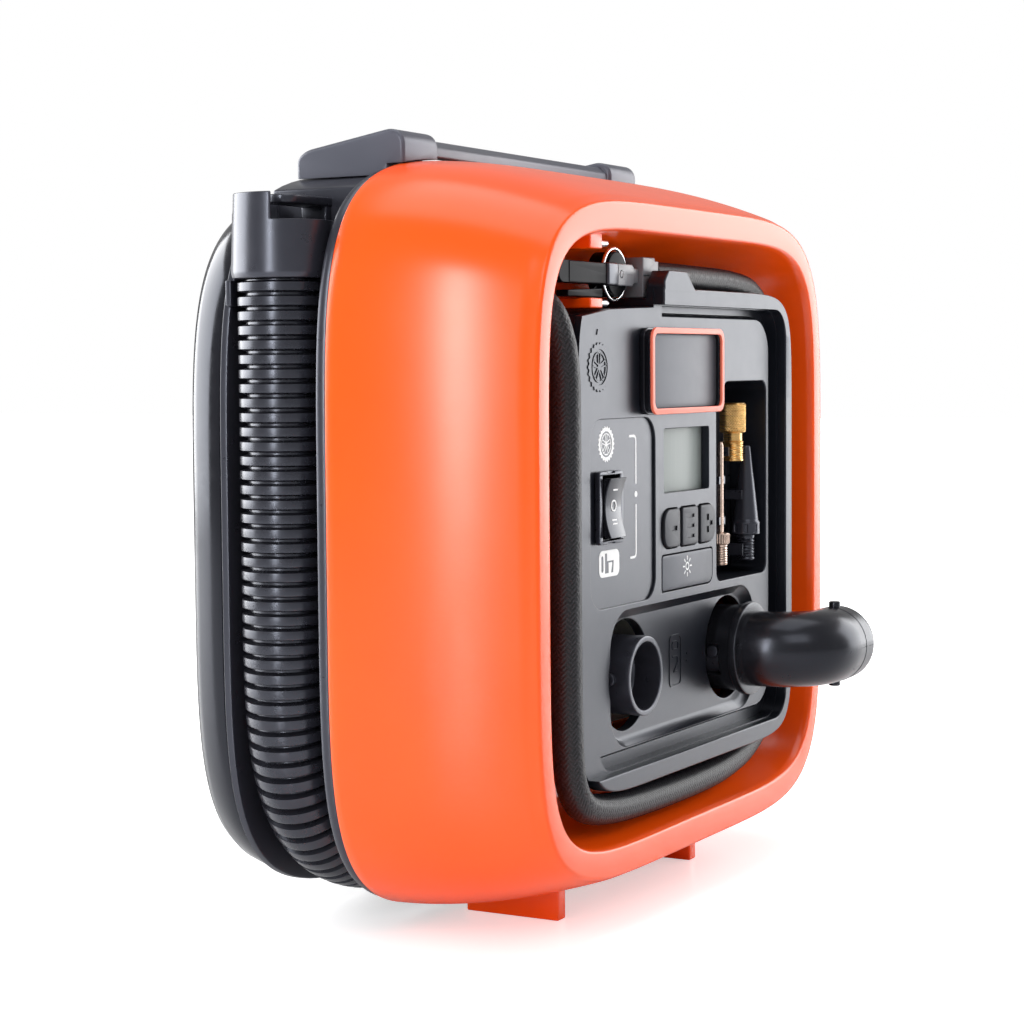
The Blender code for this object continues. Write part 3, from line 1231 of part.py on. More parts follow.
def blower_housing():
    front = CHASSIS_BACK + GAP
    duct_x = (-PORT_X - 16.0, PORT_X - 20.0)
    duct_z = (PORT_Z - 14.0, PORT_Z + 14.0)
    wall = HOUSING_WALL
    housing = rod("blower_housing", (PORT_X, front, PORT_Z), DRUM_RADIUS, DRUM_BACK - front, "y", "panel_plastic",
                  sides=24)
    join(housing, box("duct", duct_x, (front, DRUM_BACK), duct_z))
    inner = rod("drum_room", (PORT_X, front + wall, PORT_Z), DRUM_RADIUS - wall, DRUM_BACK - front - 2 * wall, sides=24)
    room = box("duct_room", (duct_x[0] + wall, duct_x[1]), (front + wall, DRUM_BACK - wall),
               (duct_z[0] + wall, duct_z[1] - wall))
    cut(housing, join(inner, room))
    for side in (-1, 1):
        cut(housing, rod("air_hole", (side * PORT_X, front - 5.0, PORT_Z), SPIGOT_BORE, 10.0, sides=16))
    cut(housing, rod("shaft_hole", (PORT_X, DRUM_BACK - 8.0, PORT_Z), SHAFT_RADIUS + 1.0, 16.0, sides=14))
    return housing


def blower_impeller():
    """A back plate with curved blades on a hub."""
    back = DRUM_BACK - HOUSING_WALL - 2.0
    front = CHASSIS_BACK + GAP + HOUSING_WALL + 3.0
    origin = (PORT_X, back, PORT_Z)
    impeller = rod("blower_impeller", (PORT_X, back - 2.0, PORT_Z), IMPELLER_RADIUS, 2.0, "y", "nylon", origin, sides=24)
    join(impeller, rod("hub", (PORT_X, front + 4.0, PORT_Z), 6.0, back - 0.5 - front - 4.0, sides=14))
    for blade in range(IMPELLER_BLADES):
        turn = 2 * math.pi * blade / IMPELLER_BLADES
        outer, inner = [], []
        for k in range(3):
            radius = 11.5 + (IMPELLER_RADIUS - 0.8 - 11.5) * k / 2
            angle = turn + 0.022 * (radius - 11.5)
            half = 0.65 / radius
            outer.append((PORT_X + radius * math.cos(angle + half), PORT_Z + radius * math.sin(angle + half)))
            inner.append((PORT_X + radius * math.cos(angle - half), PORT_Z + radius * math.sin(angle - half)))
        join(impeller, slab("blade", outer + inner[::-1], (front, back - 1.0)))
    return cut(impeller, rod("impeller_bore", (PORT_X, 20.0, PORT_Z), SHAFT_RADIUS + GAP, 60.0, sides=12))


def blower_motor():
    front = DRUM_BACK + GAP
    x, z = PORT_X, PORT_Z
    bore = SHAFT_RADIUS + GAP
    return turned("blower_motor", (x, 0.0, z), [
        (0, BLOWER_MOTOR_BACK), (BLOWER_MOTOR_RADIUS - 1.5, BLOWER_MOTOR_BACK),
        (BLOWER_MOTOR_RADIUS, BLOWER_MOTOR_BACK - 1.5), (BLOWER_MOTOR_RADIUS, front), (bore, front),
        (bore, BLOWER_MOTOR_BACK - 6.0), (0, BLOWER_MOTOR_BACK - 6.0),
    ], "y", "steel", steps=20)


def blower_shaft():
    start = CHASSIS_BACK + GAP + HOUSING_WALL + 6.0
    length = BLOWER_MOTOR_BACK - 6.0 - GAP - start
    return rod("blower_shaft", (PORT_X, start, PORT_Z), SHAFT_RADIUS, length, "y", "steel",
               (PORT_X, start, PORT_Z), sides=12)


def motor_cradle():
    """A plate across the frame's inside that holds the backs of both motors."""
    x, z = PORT_X, PORT_Z
    cradle = box("motor_cradle", (-82.2, 82.2), (BLOWER_MOTOR_BACK - 9.0, BLOWER_MOTOR_BACK - 5.0), (-66.0, 46.0),
                 "panel_plastic")
    cut(cradle, rod("seat_a", (x, 60.0, z), BLOWER_MOTOR_RADIUS + GAP, 60.0, sides=18))
    cut(cradle, rod("seat_b", (PUMP_MOTOR[0], 60.0, PUMP_MOTOR[1]), PUMP_MOTOR_RADIUS + GAP, 60.0, sides=18))
    cut(cradle, box("window_a", (-14.0, 52.0), (60.0, 120.0), (-12.0, 36.0)))
    cut(cradle, box("window_b", (-60.0, 8.0), (60.0, 120.0), (-56.0, -8.0)))
    return cradle


def pump_frame():
    """Upright plate on four posts, with the axle of the crank wheel."""
    centre_x, centre_z = PUMP_MOTOR
    wheel_x, wheel_z = WHEEL_CENTRE
    frame = box("pump_frame", (-66.0, 2.0), PLATE_Y, (-2.0, 74.0), "alloy")
    for x, z in ((-62.0, 2.0), (-2.0, 2.0), (-62.0, 60.0), (-2.0, 60.0)):
        length = PLATE_Y[0] + 0.5 - CHASSIS_BACK - GAP
        join(frame, rod("post", (x, CHASSIS_BACK + GAP, z), 3.2, length, sides=8))
    join(frame, rod("axle", (wheel_x, GEAR_Y[0] - 0.3, wheel_z), AXLE_RADIUS, PLATE_Y[0] + 0.6 - GEAR_Y[0], sides=16))
    cut(frame, rod("shaft_way", (centre_x, 40.0, centre_z), SHAFT_RADIUS + 1.0, 30.0, sides=14))
    return frame


AXLE_RADIUS = 3.5


def pump_motor():
    front = PLATE_Y[1] + GAP
    bore = SHAFT_RADIUS + GAP
    return turned("pump_motor", (PUMP_MOTOR[0], 0.0, PUMP_MOTOR[1]), [
        (bore, PUMP_MOTOR_BACK), (PUMP_MOTOR_RADIUS - 1.5, PUMP_MOTOR_BACK),
        (PUMP_MOTOR_RADIUS, PUMP_MOTOR_BACK - 1.5), (PUMP_MOTOR_RADIUS, front), (bore, front),
    ], "y", "steel", steps=20, closed=True)


def pump_shaft():
    start = GEAR_Y[0] - 1.5
    x, z = PUMP_MOTOR
    return rod("pump_shaft", (x, start, z), SHAFT_RADIUS, PUMP_MOTOR_BACK + 2.0 - start, "y", "steel", (x, start, z), sides=12)


def involute_outline(teeth, centre, start):
    """Teeth with straight flanks inside the true involute, for a 25 degree pressure angle."""
    module = GEAR_MODULE
    pressure = math.radians(25)
    pitch_radius = module * teeth / 2
    base_radius = pitch_radius * math.cos(pressure)
    tip_radius = pitch_radius + 0.85 * module
    root_radius = pitch_radius - 1.2 * module
    backlash = 0.22 * module
    half_tooth = (math.pi * module / 2 - backlash) / 2 / pitch_radius
    flank_at_pitch = math.tan(pressure) - pressure
    points = []
    for tooth in range(teeth):
        middle = start + 2 * math.pi * tooth / teeth
        flank = []
        for radius in (base_radius, tip_radius):
            roll = math.acos(min(1.0, base_radius / radius))
            flank.append((radius, half_tooth + flank_at_pitch - (math.tan(roll) - roll)))
        flank[0] = (root_radius, flank[0][1])
        points += [(radius, middle - offset) for radius, offset in flank]
        points += [(radius, middle + offset) for radius, offset in flank[::-1]]
    return [(centre[0] + r * math.cos(a), centre[1] + r * math.sin(a)) for r, a in points]


def drive_pinion():
    x, z = PUMP_MOTOR
    outline = involute_outline(PINION_TEETH, PUMP_MOTOR, 0.0)
    pinion = slab("drive_pinion", outline, GEAR_Y, finish="steel", origin=(x, GEAR_Y[0], z))
    return cut(pinion, rod("pinion_bore", (x, 30.0, z), SHAFT_RADIUS + GAP, 40.0, sides=12))


def crank_wheel():
    x, z = WHEEL_CENTRE
    start = math.pi + math.pi / WHEEL_TEETH
    wheel = slab("crank_wheel", involute_outline(WHEEL_TEETH, WHEEL_CENTRE, start), GEAR_Y, finish="nylon",
                 origin=(x, GEAR_Y[0], z))
    return cut(wheel, rod("wheel_bore", (x, 30.0, z), AXLE_RADIUS + GAP, 40.0, sides=16))


def connecting_rod():
    x, z = WHEEL_CENTRE
    pin_z = z - CRANK_RADIUS
    top = pin_z + ROD_LENGTH
    origin = (x, sum(ROD_Y) / 2, pin_z)
    made = slab("connecting_rod", circle((x, pin_z), 5.0, 12), ROD_Y, finish="alloy", origin=origin)
    join(made, box("shank", (x - 2.4, x + 2.4), ROD_Y, (pin_z + 3.0, top - 2.0)))
    join(made, slab("small_end", circle((x, top), 4.0, 10), ROD_Y))
    stub = rod("crank_stub", (x, ROD_Y[1] - 1.0, pin_z), 2.6, GEAR_Y[0] - GAP - ROD_Y[1] + 1.0, sides=12)
    join(made, stub)
    return cut(made, rod("wrist_bore", (x, 30.0, top), WRIST_PIN + GAP, 30.0, sides=12))


WRIST_PIN = 1.8


def piston():
    x, z = WHEEL_CENTRE
    top = z - CRANK_RADIUS + ROD_LENGTH
    made = rod("piston", (x, CYLINDER_AXIS_Y, top - 4.5), PISTON_RADIUS, PISTON_HEIGHT, "z", "alloy",
               (x, CYLINDER_AXIS_Y, top), sides=24)
    slot = box("rod_slot", (x - 4.6, x + 4.6), (ROD_Y[0] - GAP, ROD_Y[1] + GAP), (top - 10.0, top + 4.4))
    cut(made, slot)
    pin = rod("wrist_pin", (x, CYLINDER_AXIS_Y - PISTON_RADIUS + 1.0, top), WRIST_PIN, 2 * PISTON_RADIUS - 2.0, sides=12)
    return join(made, pin)


def cylinder():
    x = WHEEL_CENTRE[0]
    block = box("cylinder", (x - 14.0, x + 14.0), (CHASSIS_BACK + GAP, PLATE_Y[0] - GAP), CYLINDER_Z, "alloy")
    bore = rod("bore", (x, CYLINDER_AXIS_Y, CYLINDER_Z[0] - 5.0), BORE_RADIUS, CYLINDER_Z[1] - CYLINDER_Z[0] + 10.0, "z",
               sides=24)
    return cut(block, bore)


def cylinder_head():
    x = WHEEL_CENTRE[0]
    low = CYLINDER_Z[1] + GAP
    head = box("cylinder_head", (x - 14.0, x + 14.0), (CHASSIS_BACK + GAP, PLATE_Y[0] - GAP), (low, low + 6.5), "alloy")
    for k in range(4):
        fin = x - 10.5 + 7.0 * k
        cut(head, box("fin_gap", (fin - 1.2, fin + 1.2), (CHASSIS_BACK - 5.0, PLATE_Y[0] + 5.0), (low + 3.5, low + 12.0)))
    nipple = rod("nipple", (x - 20.0, AIR_LINE_Y, low + 2.0), 1.6, 8.0, "x", sides=12)
    return join(head, nipple)


AIR_LINE_Y = 40.0


def air_line():
    """The pressure tube from the cylinder head to the air hose's fitting."""
    x = WHEEL_CENTRE[0]
    fitting_x, fitting_y, fitting_z = AIR_HOSE_ROUTE[-1]
    start = (x - 20.0 - GAP, AIR_LINE_Y, CYLINDER_Z[1] + GAP + 2.0)
    route = (start, (start[0] - 6.0, AIR_LINE_Y, start[2]), (start[0] - 20.0, AIR_LINE_Y + 3.0, start[2]),
             (fitting_x + 6.0, AIR_LINE_Y + 3.0, fitting_z), (fitting_x, AIR_LINE_Y - 1.0, fitting_z),
             (fitting_x, FITTING_BACK + GAP, fitting_z))
    return tube("air_line", smooth_route(route, 2), 2.2, "rubber", resolution=2)


def power_board():
    front = CHASSIS_BACK + GAP
    board = box("power_board", (14.0, 66.0), (front + 3.0, front + 4.6), (4.0, 56.0), "board_green")
    for x, z in ((18.0, 8.0), (62.0, 8.0), (18.0, 52.0), (62.0, 52.0)):
        join(board, rod("standoff", (x, front, z), 2.4, 3.5, sides=8))
    parts_list = (((20.0, 36.0), 15.0, (14.0, 30.0)), ((42.0, 60.0), 9.0, (14.0, 26.0)), ((24.0, 34.0), 20.0, (36.0, 46.0)))
    for x, height, z in parts_list:
        join(board, box("component", x, (front + 4.2, front + 4.6 + height), z))
    return board


def main():
    front_shell()
    parking_pins()
    mid_frame()
    rear_cover()
    rear_screws()
    cord_gland()
    rear_foot()
    carry_handle()
    volume_hose()
    hose_cuff("hose_cuff_left", -1)
    hose_cuff("hose_cuff_right", 1)
    front_panel()
    badge_plate()
    badge_frame()
    switch_housing()
    rocker()
    display_parts()
    control_board()
    keys()
    port("inflate_port", -1)
    port("deflate_port", 1)
    elbow_adaptor()
    air_hose()
    air_fitting()
    hose_ferrule()
    chuck_body()
    chuck_pin()
    chuck_lever()
    chuck_ring()
    presta_adapter()
    ball_needle()
    taper_nozzle()
    accessory_clips()
    chassis_plate()
    blower_housing()
    blower_impeller()
    blower_motor()
    blower_shaft()
    motor_cradle()
    pump_frame()
    pump_motor()
    pump_shaft()
    drive_pinion()
    crank_wheel()
    connecting_rod()
    piston()
    cylinder()
    cylinder_head()
    air_line()
    power_board()


for old in list(bpy.data.objects):
    bpy.data.objects.remove(old)
parts = bpy.data.collections.new("tire_inflator")
cutters = bpy.data.collections.new("cutters")
bpy.context.scene.collection.children.link(parts)
bpy.context.scene.collection.children.link(cutters)
main()
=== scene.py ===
"""Looks of the portable inflator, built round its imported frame.

The pieces are shaped in the object's own plan, in millimetres: X to the right and Y to the back, seen
from the front, Y = 0 at the flat front ring and Z = 0 at its centre. PLAN_TO_WORLD puts them in place.
"""

import json
import math

import bmesh
import bpy
import numpy as np
from mathutils import Matrix, Vector

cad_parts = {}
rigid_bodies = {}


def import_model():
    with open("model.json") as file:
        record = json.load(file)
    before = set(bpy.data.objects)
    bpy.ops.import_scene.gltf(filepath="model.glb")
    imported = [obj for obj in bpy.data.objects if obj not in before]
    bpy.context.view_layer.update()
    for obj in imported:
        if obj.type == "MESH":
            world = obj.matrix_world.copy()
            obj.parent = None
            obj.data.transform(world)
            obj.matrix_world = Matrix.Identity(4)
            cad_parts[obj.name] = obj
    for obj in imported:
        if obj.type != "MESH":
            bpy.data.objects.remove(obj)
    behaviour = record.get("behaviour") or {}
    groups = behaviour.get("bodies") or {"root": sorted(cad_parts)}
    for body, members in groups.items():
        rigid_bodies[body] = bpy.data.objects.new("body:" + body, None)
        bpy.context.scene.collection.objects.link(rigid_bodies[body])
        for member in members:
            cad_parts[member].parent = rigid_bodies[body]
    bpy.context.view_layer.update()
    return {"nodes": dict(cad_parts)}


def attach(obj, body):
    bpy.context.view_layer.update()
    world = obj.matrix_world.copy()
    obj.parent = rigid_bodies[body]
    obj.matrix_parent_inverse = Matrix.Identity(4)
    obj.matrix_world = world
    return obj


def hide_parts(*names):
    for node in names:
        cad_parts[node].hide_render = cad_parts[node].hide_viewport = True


for old in list(bpy.data.objects):
    bpy.data.objects.remove(old)
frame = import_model()

MIDDLE_Y = 43.7                 # plan Y of the row frame's origin
RING_HEIGHT = 117.0             # height of the ring's centre above the floor
PLAN_TO_WORLD = Matrix.Translation((0, -MIDDLE_Y / 1000, RING_HEIGHT / 1000)) @ Matrix.Scale(0.001, 4)
GAP = 0.3
FINE = 160                      # points round a casing section
WELD = 0.0001                   # points this near are one

# ---------------------------------------------------------------- camera

CAMERA_AT = (-655.2, -295.4, 51.5)
HEADING, DIP, ROLL = (math.radians(a) for a in (61.0624, 3.664, -0.4352))
FOCAL_PIXELS = 2282.467
FRAME_PIXELS = 1024
SENSOR = 36.0


def make_camera():
    ahead = Vector((math.sin(HEADING) * math.cos(DIP), math.cos(HEADING) * math.cos(DIP), -math.sin(DIP)))
    right = Vector((math.cos(HEADING), -math.sin(HEADING), 0))
    up = right.cross(ahead)
    side = right * math.cos(ROLL) + up * math.sin(ROLL)
    top = up * math.cos(ROLL) - right * math.sin(ROLL)
    data = bpy.data.cameras.new("camera")
    data.sensor_width = SENSOR
    data.lens = FOCAL_PIXELS / FRAME_PIXELS * SENSOR
    data.clip_start, data.clip_end = 0.01, 50.0
    camera = bpy.data.objects.new("camera", data)
    turn = Matrix((side, top, -ahead)).transposed().to_4x4()
    camera.matrix_world = Matrix.Translation(PLAN_TO_WORLD @ Vector(CAMERA_AT)) @ turn
    bpy.context.scene.collection.objects.link(camera)
    bpy.context.scene.camera = camera


make_camera()

# ---------------------------------------------------------------- materials


def shader_of(name):
    made = bpy.data.materials.new(name)
    made.use_nodes = True
    return made, made.node_tree, made.node_tree.nodes["Principled BSDF"]


def noise(tree, scale, detail=2.0, roughness=0.5, vector=None):
    node = tree.nodes.new("ShaderNodeTexNoise")
    node.inputs["Scale"].default_value = scale
    node.inputs["Detail"].default_value = detail
    node.inputs["Roughness"].default_value = roughness
    tree.links.new(vector or place(tree), node.inputs["Vector"])
    return node.outputs["Fac"]


def place(tree):
    found = tree.nodes.get("place")
    if not found:
        found = tree.nodes.new("ShaderNodeTexCoord")
        found.name = "place"
    return found.outputs["Object"]


def ranged(tree, value, low, high, start=0.3, end=0.7):
    node = tree.nodes.new("ShaderNodeMapRange")
    for socket, number in zip(("From Min", "From Max", "To Min", "To Max"), (start, end, low, high)):
        node.inputs[socket].default_value = number
    tree.links.new(value, node.inputs["Value"])
    return node.outputs["Result"]


def mixed(tree, share, first, second):
    node = tree.nodes.new("ShaderNodeMix")
    node.data_type = "RGBA"
    tree.links.new(share, node.inputs["Factor"])
    for socket, colour in ((node.inputs[6], first), (node.inputs[7], second)):
        if isinstance(colour, tuple):
            socket.default_value = (*colour, 1.0)
        else:
            tree.links.new(colour, socket)
    return node.outputs[2]


def bumped(tree, height, depth_mm, shader, below=None):
    node = tree.nodes.new("ShaderNodeBump")
    node.inputs["Strength"].default_value = 1.0
    node.inputs["Distance"].default_value = depth_mm / 1000
    tree.links.new(height, node.inputs["Height"])
    if below:
        tree.links.new(below, node.inputs["Normal"])
    tree.links.new(node.outputs["Normal"], shader.inputs["Normal"])
    return node.outputs["Normal"]


COOL = (0.8, 0.85, 1.0, 1.0)    # the dark plastics' shine is slightly blue


def moulded(name, colour, roughness, grain_mm=0.35, depth_mm=0.006, tint=0.06, metallic=0.0, coat=0.0,
            spread=0.02, specular=0.5):
    """Moulded or cast material: slow tint, uneven gloss, and a fine grain in the surface."""
    made, tree, shader = shader_of(name)
    shader.inputs["Metallic"].default_value = metallic
    shader.inputs["Coat Weight"].default_value = coat
    shader.inputs["Coat Roughness"].default_value = 0.12
    shader.inputs["Specular IOR Level"].default_value = specular
    if not metallic and max(colour) < 0.12:
        shader.inputs["Specular Tint"].default_value = COOL
    slow = noise(tree, 35.0, 3.0)
    dark = tuple(c * (1 - tint) for c in colour)
    light = tuple(min(1.0, c * (1 + tint)) for c in colour)
    tree.links.new(mixed(tree, ranged(tree, slow, 0, 1), dark, light), shader.inputs["Base Color"])
    uneven = noise(tree, 220.0, 4.0, 0.6)
    tree.links.new(ranged(tree, uneven, roughness - spread, roughness + spread), shader.inputs["Roughness"])
    grain = noise(tree, 1000.0 / grain_mm, 2.0, 0.6)
    bumped(tree, grain, depth_mm, shader)
    return made


def turned_metal(name, colour, roughness):
    """Bright metal with fine turning lines round its own length and slow stains."""
    made, tree, shader = shader_of(name)
    shader.inputs["Metallic"].default_value = 1.0
    stretched = tree.nodes.new("ShaderNodeMapping")
    stretched.inputs["Scale"].default_value = (60.0, 60.0, 6000.0)
    tree.links.new(place(tree), stretched.inputs["Vector"])
    lines = noise(tree, 1.0, 2.0, 0.5, stretched.outputs["Vector"])
    stains = noise(tree, 420.0, 3.0)
    darker = tuple(c * 0.72 for c in colour)
    tree.links.new(mixed(tree, ranged(tree, stains, 0, 1), darker, colour), shader.inputs["Base Color"])
    tree.links.new(ranged(tree, lines, roughness - 0.07, roughness + 0.1), shader.inputs["Roughness"])
    bumped(tree, lines, 0.004, shader)
    return made


def woven(name, colour, painted_glint, roughness):
    """Braided yarn: a dull dark thread with painted shade, near black, in the low parts of its relief between the
    strands, and a paler painted highlight (glint) on the strands that stand up, read from its relief.
    """
    made, tree, shader = shader_of(name)
    relief = tree.nodes.new("ShaderNodeAttribute")
    relief.attribute_name = "relief"
    fibres = noise(tree, 3200.0, 2.0, 0.7)
    # painted highlight: a paler glint colour mixed into the thread's colour along the fibres
    fine = mixed(tree, ranged(tree, fibres, 0, 1, 0.4, 0.75), colour, painted_glint)
    unshaded_share = ranged(tree, relief.outputs["Fac"], 0, 1, 0.3, 0.95)
    # painted shade: the base colour goes to near black where the braid's relief is low, between the strands
    tree.links.new(mixed(tree, unshaded_share, (0.001, 0.001, 0.001), fine), shader.inputs["Base Color"])
    tree.links.new(ranged(tree, fibres, roughness - 0.08, roughness + 0.08), shader.inputs["Roughness"])
    shader.inputs["Specular IOR Level"].default_value = 0.35
    bumped(tree, fibres, 0.03, shader)
    return made


def glass_front(name, colour):
    """The display's pale plate under a clear front: faint vertical bands and a glossy coat."""
    made, tree, shader = shader_of(name)
    bands = tree.nodes.new("ShaderNodeMapping")
    bands.inputs["Scale"].default_value = (900.0, 1.0, 30.0)
    tree.links.new(place(tree), bands.inputs["Vector"])
    soft = noise(tree, 1.0, 2.0, 0.5, bands.outputs["Vector"])
    tree.links.new(mixed(tree, ranged(tree, soft, 0, 1), tuple(c * 0.95 for c in colour), colour),
                   shader.inputs["Base Color"])
    shader.inputs["Roughness"].default_value = 0.4
    shader.inputs["Specular IOR Level"].default_value = 0.2
    shader.inputs["Coat Weight"].default_value = 0.05
    shader.inputs["Coat Roughness"].default_value = 0.05
    return made


# Moulded looks: name, colour, roughness, size and depth of the grain in mm, and share of tint.
MATERIALS = {
    "orange": moulded("orange_shell", (0.96, 0.088, 0.001), 0.24, 0.5, 0.0012, 0.03, spread=0.01),
    "black": moulded("black_frame", (0.018, 0.018, 0.024), 0.29, 0.3, 0.006, 0.12, specular=0.75),
    "panel": moulded("panel_satin", (0.008, 0.009, 0.013), 0.3, 0.22, 0.006, 0.04),
    "plate": moulded("switch_plate_satin", (0.024, 0.025, 0.031), 0.4, 0.2, 0.008, 0.04),
    "gloss": moulded("gloss_black", (0.006, 0.006, 0.008), 0.16, 0.5, 0.002, 0.1, spread=0.04, specular=0.45),
    "jet": moulded("jet_black", (0.003, 0.003, 0.004), 0.3, 0.5, 0.003, 0.1, specular=0.03),
    "elbow": moulded("elbow_satin_black", (0.008, 0.008, 0.01), 0.24, 0.5, 0.004, 0.1, spread=0.04,
                     specular=0.42),
    "handle": moulded("handle_black", (0.07, 0.072, 0.09), 0.36, 0.5, 0.014, 0.1, specular=0.55),
    "rubber": moulded("soft_rubber", (0.01, 0.01, 0.011), 0.46, 0.4, 0.01, 0.15, specular=0.3),
    "key": moulded("key_rubber", (0.008, 0.008, 0.01), 0.4, 0.25, 0.01, 0.1, specular=0.3),
    "ribbed": moulded("ribbed_hose_vinyl", (0.012, 0.012, 0.016), 0.28, 0.6, 0.004, 0.05, specular=0.7),
    "salmon": moulded("badge_border_paint", (0.85, 0.17, 0.1), 0.38, 0.3, 0.004, 0.04),
    "badge": moulded("badge_plate_grey", (0.06, 0.062, 0.072), 0.38, 0.4, 0.003, 0.05, specular=0.36),
    "white": moulded("white_print", (0.8, 0.8, 0.8), 0.45, 0.2, 0.004, 0.03),
    "grey": moulded("ferrule_grey", (0.17, 0.173, 0.19), 0.36, 0.25, 0.008, 0.06),
    "nylon": moulded("nylon_natural", (0.72, 0.7, 0.63), 0.5, 0.4, 0.01, 0.04),
    "board": moulded("circuit_green", (0.02, 0.15, 0.06), 0.35, 0.8, 0.01, 0.15, coat=0.4),
    "alloy": moulded("cast_alloy", (0.55, 0.55, 0.56), 0.45, 0.5, 0.03, 0.08, metallic=1.0),
    "steel": turned_metal("bright_steel", (0.72, 0.72, 0.74), 0.24),
    "chrome": turned_metal("chrome_wire", (0.9, 0.9, 0.92), 0.1),
    "brass": turned_metal("brass", (0.86, 0.53, 0.2), 0.27),
    "nickel": turned_metal("nickel_pink", (0.72, 0.55, 0.46), 0.3),
    # the braid's second colour is a painted highlight on the raised strands; its valleys get painted shade
    "weave": woven("hose_braid", (0.008, 0.008, 0.01), (0.05, 0.05, 0.062), 0.4),
    "display": glass_front("display_plate", (0.27, 0.3, 0.29)),
}

# ---------------------------------------------------------------- meshes


def from_bmesh(bm):
    mesh = bpy.data.meshes.new("shape")
    bm.to_mesh(mesh)
    bm.free()
    return mesh


def cleaned(mesh, weld=0.0, outward=True):
    """Weld a mesh's near points and turn its faces outward, in place."""
    bm = bmesh.new()
    bm.from_mesh(mesh)
    if weld:
        bmesh.ops.remove_doubles(bm, verts=bm.verts, dist=weld)
    if outward:
        bmesh.ops.recalc_face_normals(bm, faces=bm.faces)
    bm.to_mesh(mesh)
    bm.free()
    return mesh


def from_arrays(points, faces, weld=WELD):
    mesh = bpy.data.meshes.new("shape")
    mesh.from_pydata([tuple(p) for p in points], [], faces)
    return cleaned(mesh, weld)


def holder(mesh):
    """An object to hold a mesh or curve while it is shaped."""
    made = bpy.data.objects.new("shape", mesh)
    bpy.context.scene.collection.objects.link(made)
    return made


def taken(maker):
    """The maker's final mesh, modifiers and matrix applied. The maker is removed."""
    bpy.context.view_layer.update()
    graph = bpy.context.evaluated_depsgraph_get()
    mesh = bpy.data.meshes.new_from_object(maker.evaluated_get(graph))
    mesh.transform(maker.matrix_world)
    mesh.materials.clear()
    bpy.data.objects.remove(maker)
    return cleaned(mesh, WELD, outward=False)


def shaped(base, joins=(), cuts=(), bevel=0.0, segments=2, angle=38.0):
    """Joins and cuts meshes in the order given, then rounds the sharp edges."""
    body = holder(base)
    tools = []
    for meshes, operation in ((joins, "UNION"), (cuts, "DIFFERENCE")):
        for mesh in meshes:
            tool = holder(mesh)
            tools.append(tool)
            modifier = body.modifiers.new("join", "BOOLEAN")
            modifier.operation = operation
            modifier.object = tool
    if bevel:
        rounding = body.modifiers.new("edges", "BEVEL")
        rounding.width = bevel
        rounding.segments = segments
        rounding.limit_method = "ANGLE"
        rounding.angle_limit = math.radians(angle)
        rounding.use_clamp_overlap = False
        rounding.miter_outer = "MITER_ARC"
    mesh = taken(body)
    for tool in tools:
        bpy.data.objects.remove(tool)
    return mesh


def box(x, y, z, bevel=0.0, segments=3):
    bm = bmesh.new()
    bmesh.ops.create_cube(bm, size=1.0)
    size = (x[1] - x[0], y[1] - y[0], z[1] - z[0])
    middle = Vector((x[1] + x[0], y[1] + y[0], z[1] + z[0])) / 2
    bmesh.ops.transform(bm, matrix=Matrix.Translation(middle) @ Matrix.Diagonal((*size, 1)), verts=bm.verts)
    if bevel:
        bmesh.ops.bevel(bm, geom=bm.edges[:], offset=bevel, segments=segments, affect="EDGES", profile=0.5)
    return from_bmesh(bm)


AXES = {
    "x": Matrix(((0, 0, 1), (0, 1, 0), (-1, 0, 0))),
    "y": Matrix(((1, 0, 0), (0, 0, 1), (0, -1, 0))),
    "z": Matrix.Identity(3),
}


def revolved(start, profile, axis="y", around=64, closed=False, relief=None):
    """Turn (radius, distance along +axis) pairs; relief adds height by angle and distance."""
    turn = np.array(AXES[axis])
    angles = np.arange(around) * 2 * math.pi / around
    radii = np.array([p[0] for p in profile])[:, None] * np.ones(around)
    along = np.array([p[1] for p in profile])[:, None] * np.ones(around)
    if relief:
        radii = radii + relief(np.ones((len(profile), 1)) * angles, along, radii)
    points = np.stack([radii * np.cos(angles), radii * np.sin(angles), along], -1).reshape(-1, 3) @ turn.T
    points += np.array(start)
    faces = []
    rows = len(profile)
    for row in range(rows if closed else rows - 1):
        low, high = row * around, (row + 1) % rows * around
        for k in range(around):
            after = (k + 1) % around
            faces.append((low + k, low + after, high + after, high + k))
    if not closed:
        faces.append(tuple(range(around))[::-1])
        faces.append(tuple((rows - 1) * around + k for k in range(around)))
    return from_arrays(points, faces, 5 * WELD)


def softened(points, radius, steps=4, closed=False):
    """Replace a line's corners by small arcs; a radius of 0 keeps the corner."""
    made = []
    count = len(points)
    for index, point in enumerate(points):
        here = Vector(point)
        if not closed and index in (0, count - 1):
            made.append(tuple(here))
            continue
        before, after = Vector(points[index - 1]), Vector(points[(index + 1) % count])
        reach = min(radius, (before - here).length * 0.48, (after - here).length * 0.48)
        if reach < 1e-4:
            made.append(tuple(here))
            continue
        first = here + (before - here).normalized() * reach
        last = here + (after - here).normalized() * reach
        for k in range(steps + 1):
            t = k / steps
            made.append(tuple(first * (1 - t) ** 2 + here * 2 * t * (1 - t) + last * t * t))
    return made


def rod(start, radius, length, axis="y", edge=0.2, around=48):
    profile = [(0, 0), (radius, 0), (radius, length), (0, length)]
    return revolved(start, softened(profile, edge, 3) if edge else profile, axis, around)


SLAB_TURNS = {
    "y": Matrix(((1, 0, 0, 0), (0, 0, -1, 0), (0, 1, 0, 0), (0, 0, 0, 1))),
    "x": Matrix(((0, 0, 1, 0), (1, 0, 0, 0), (0, 1, 0, 0), (0, 0, 0, 1))),
    "z": Matrix.Identity(4),
}


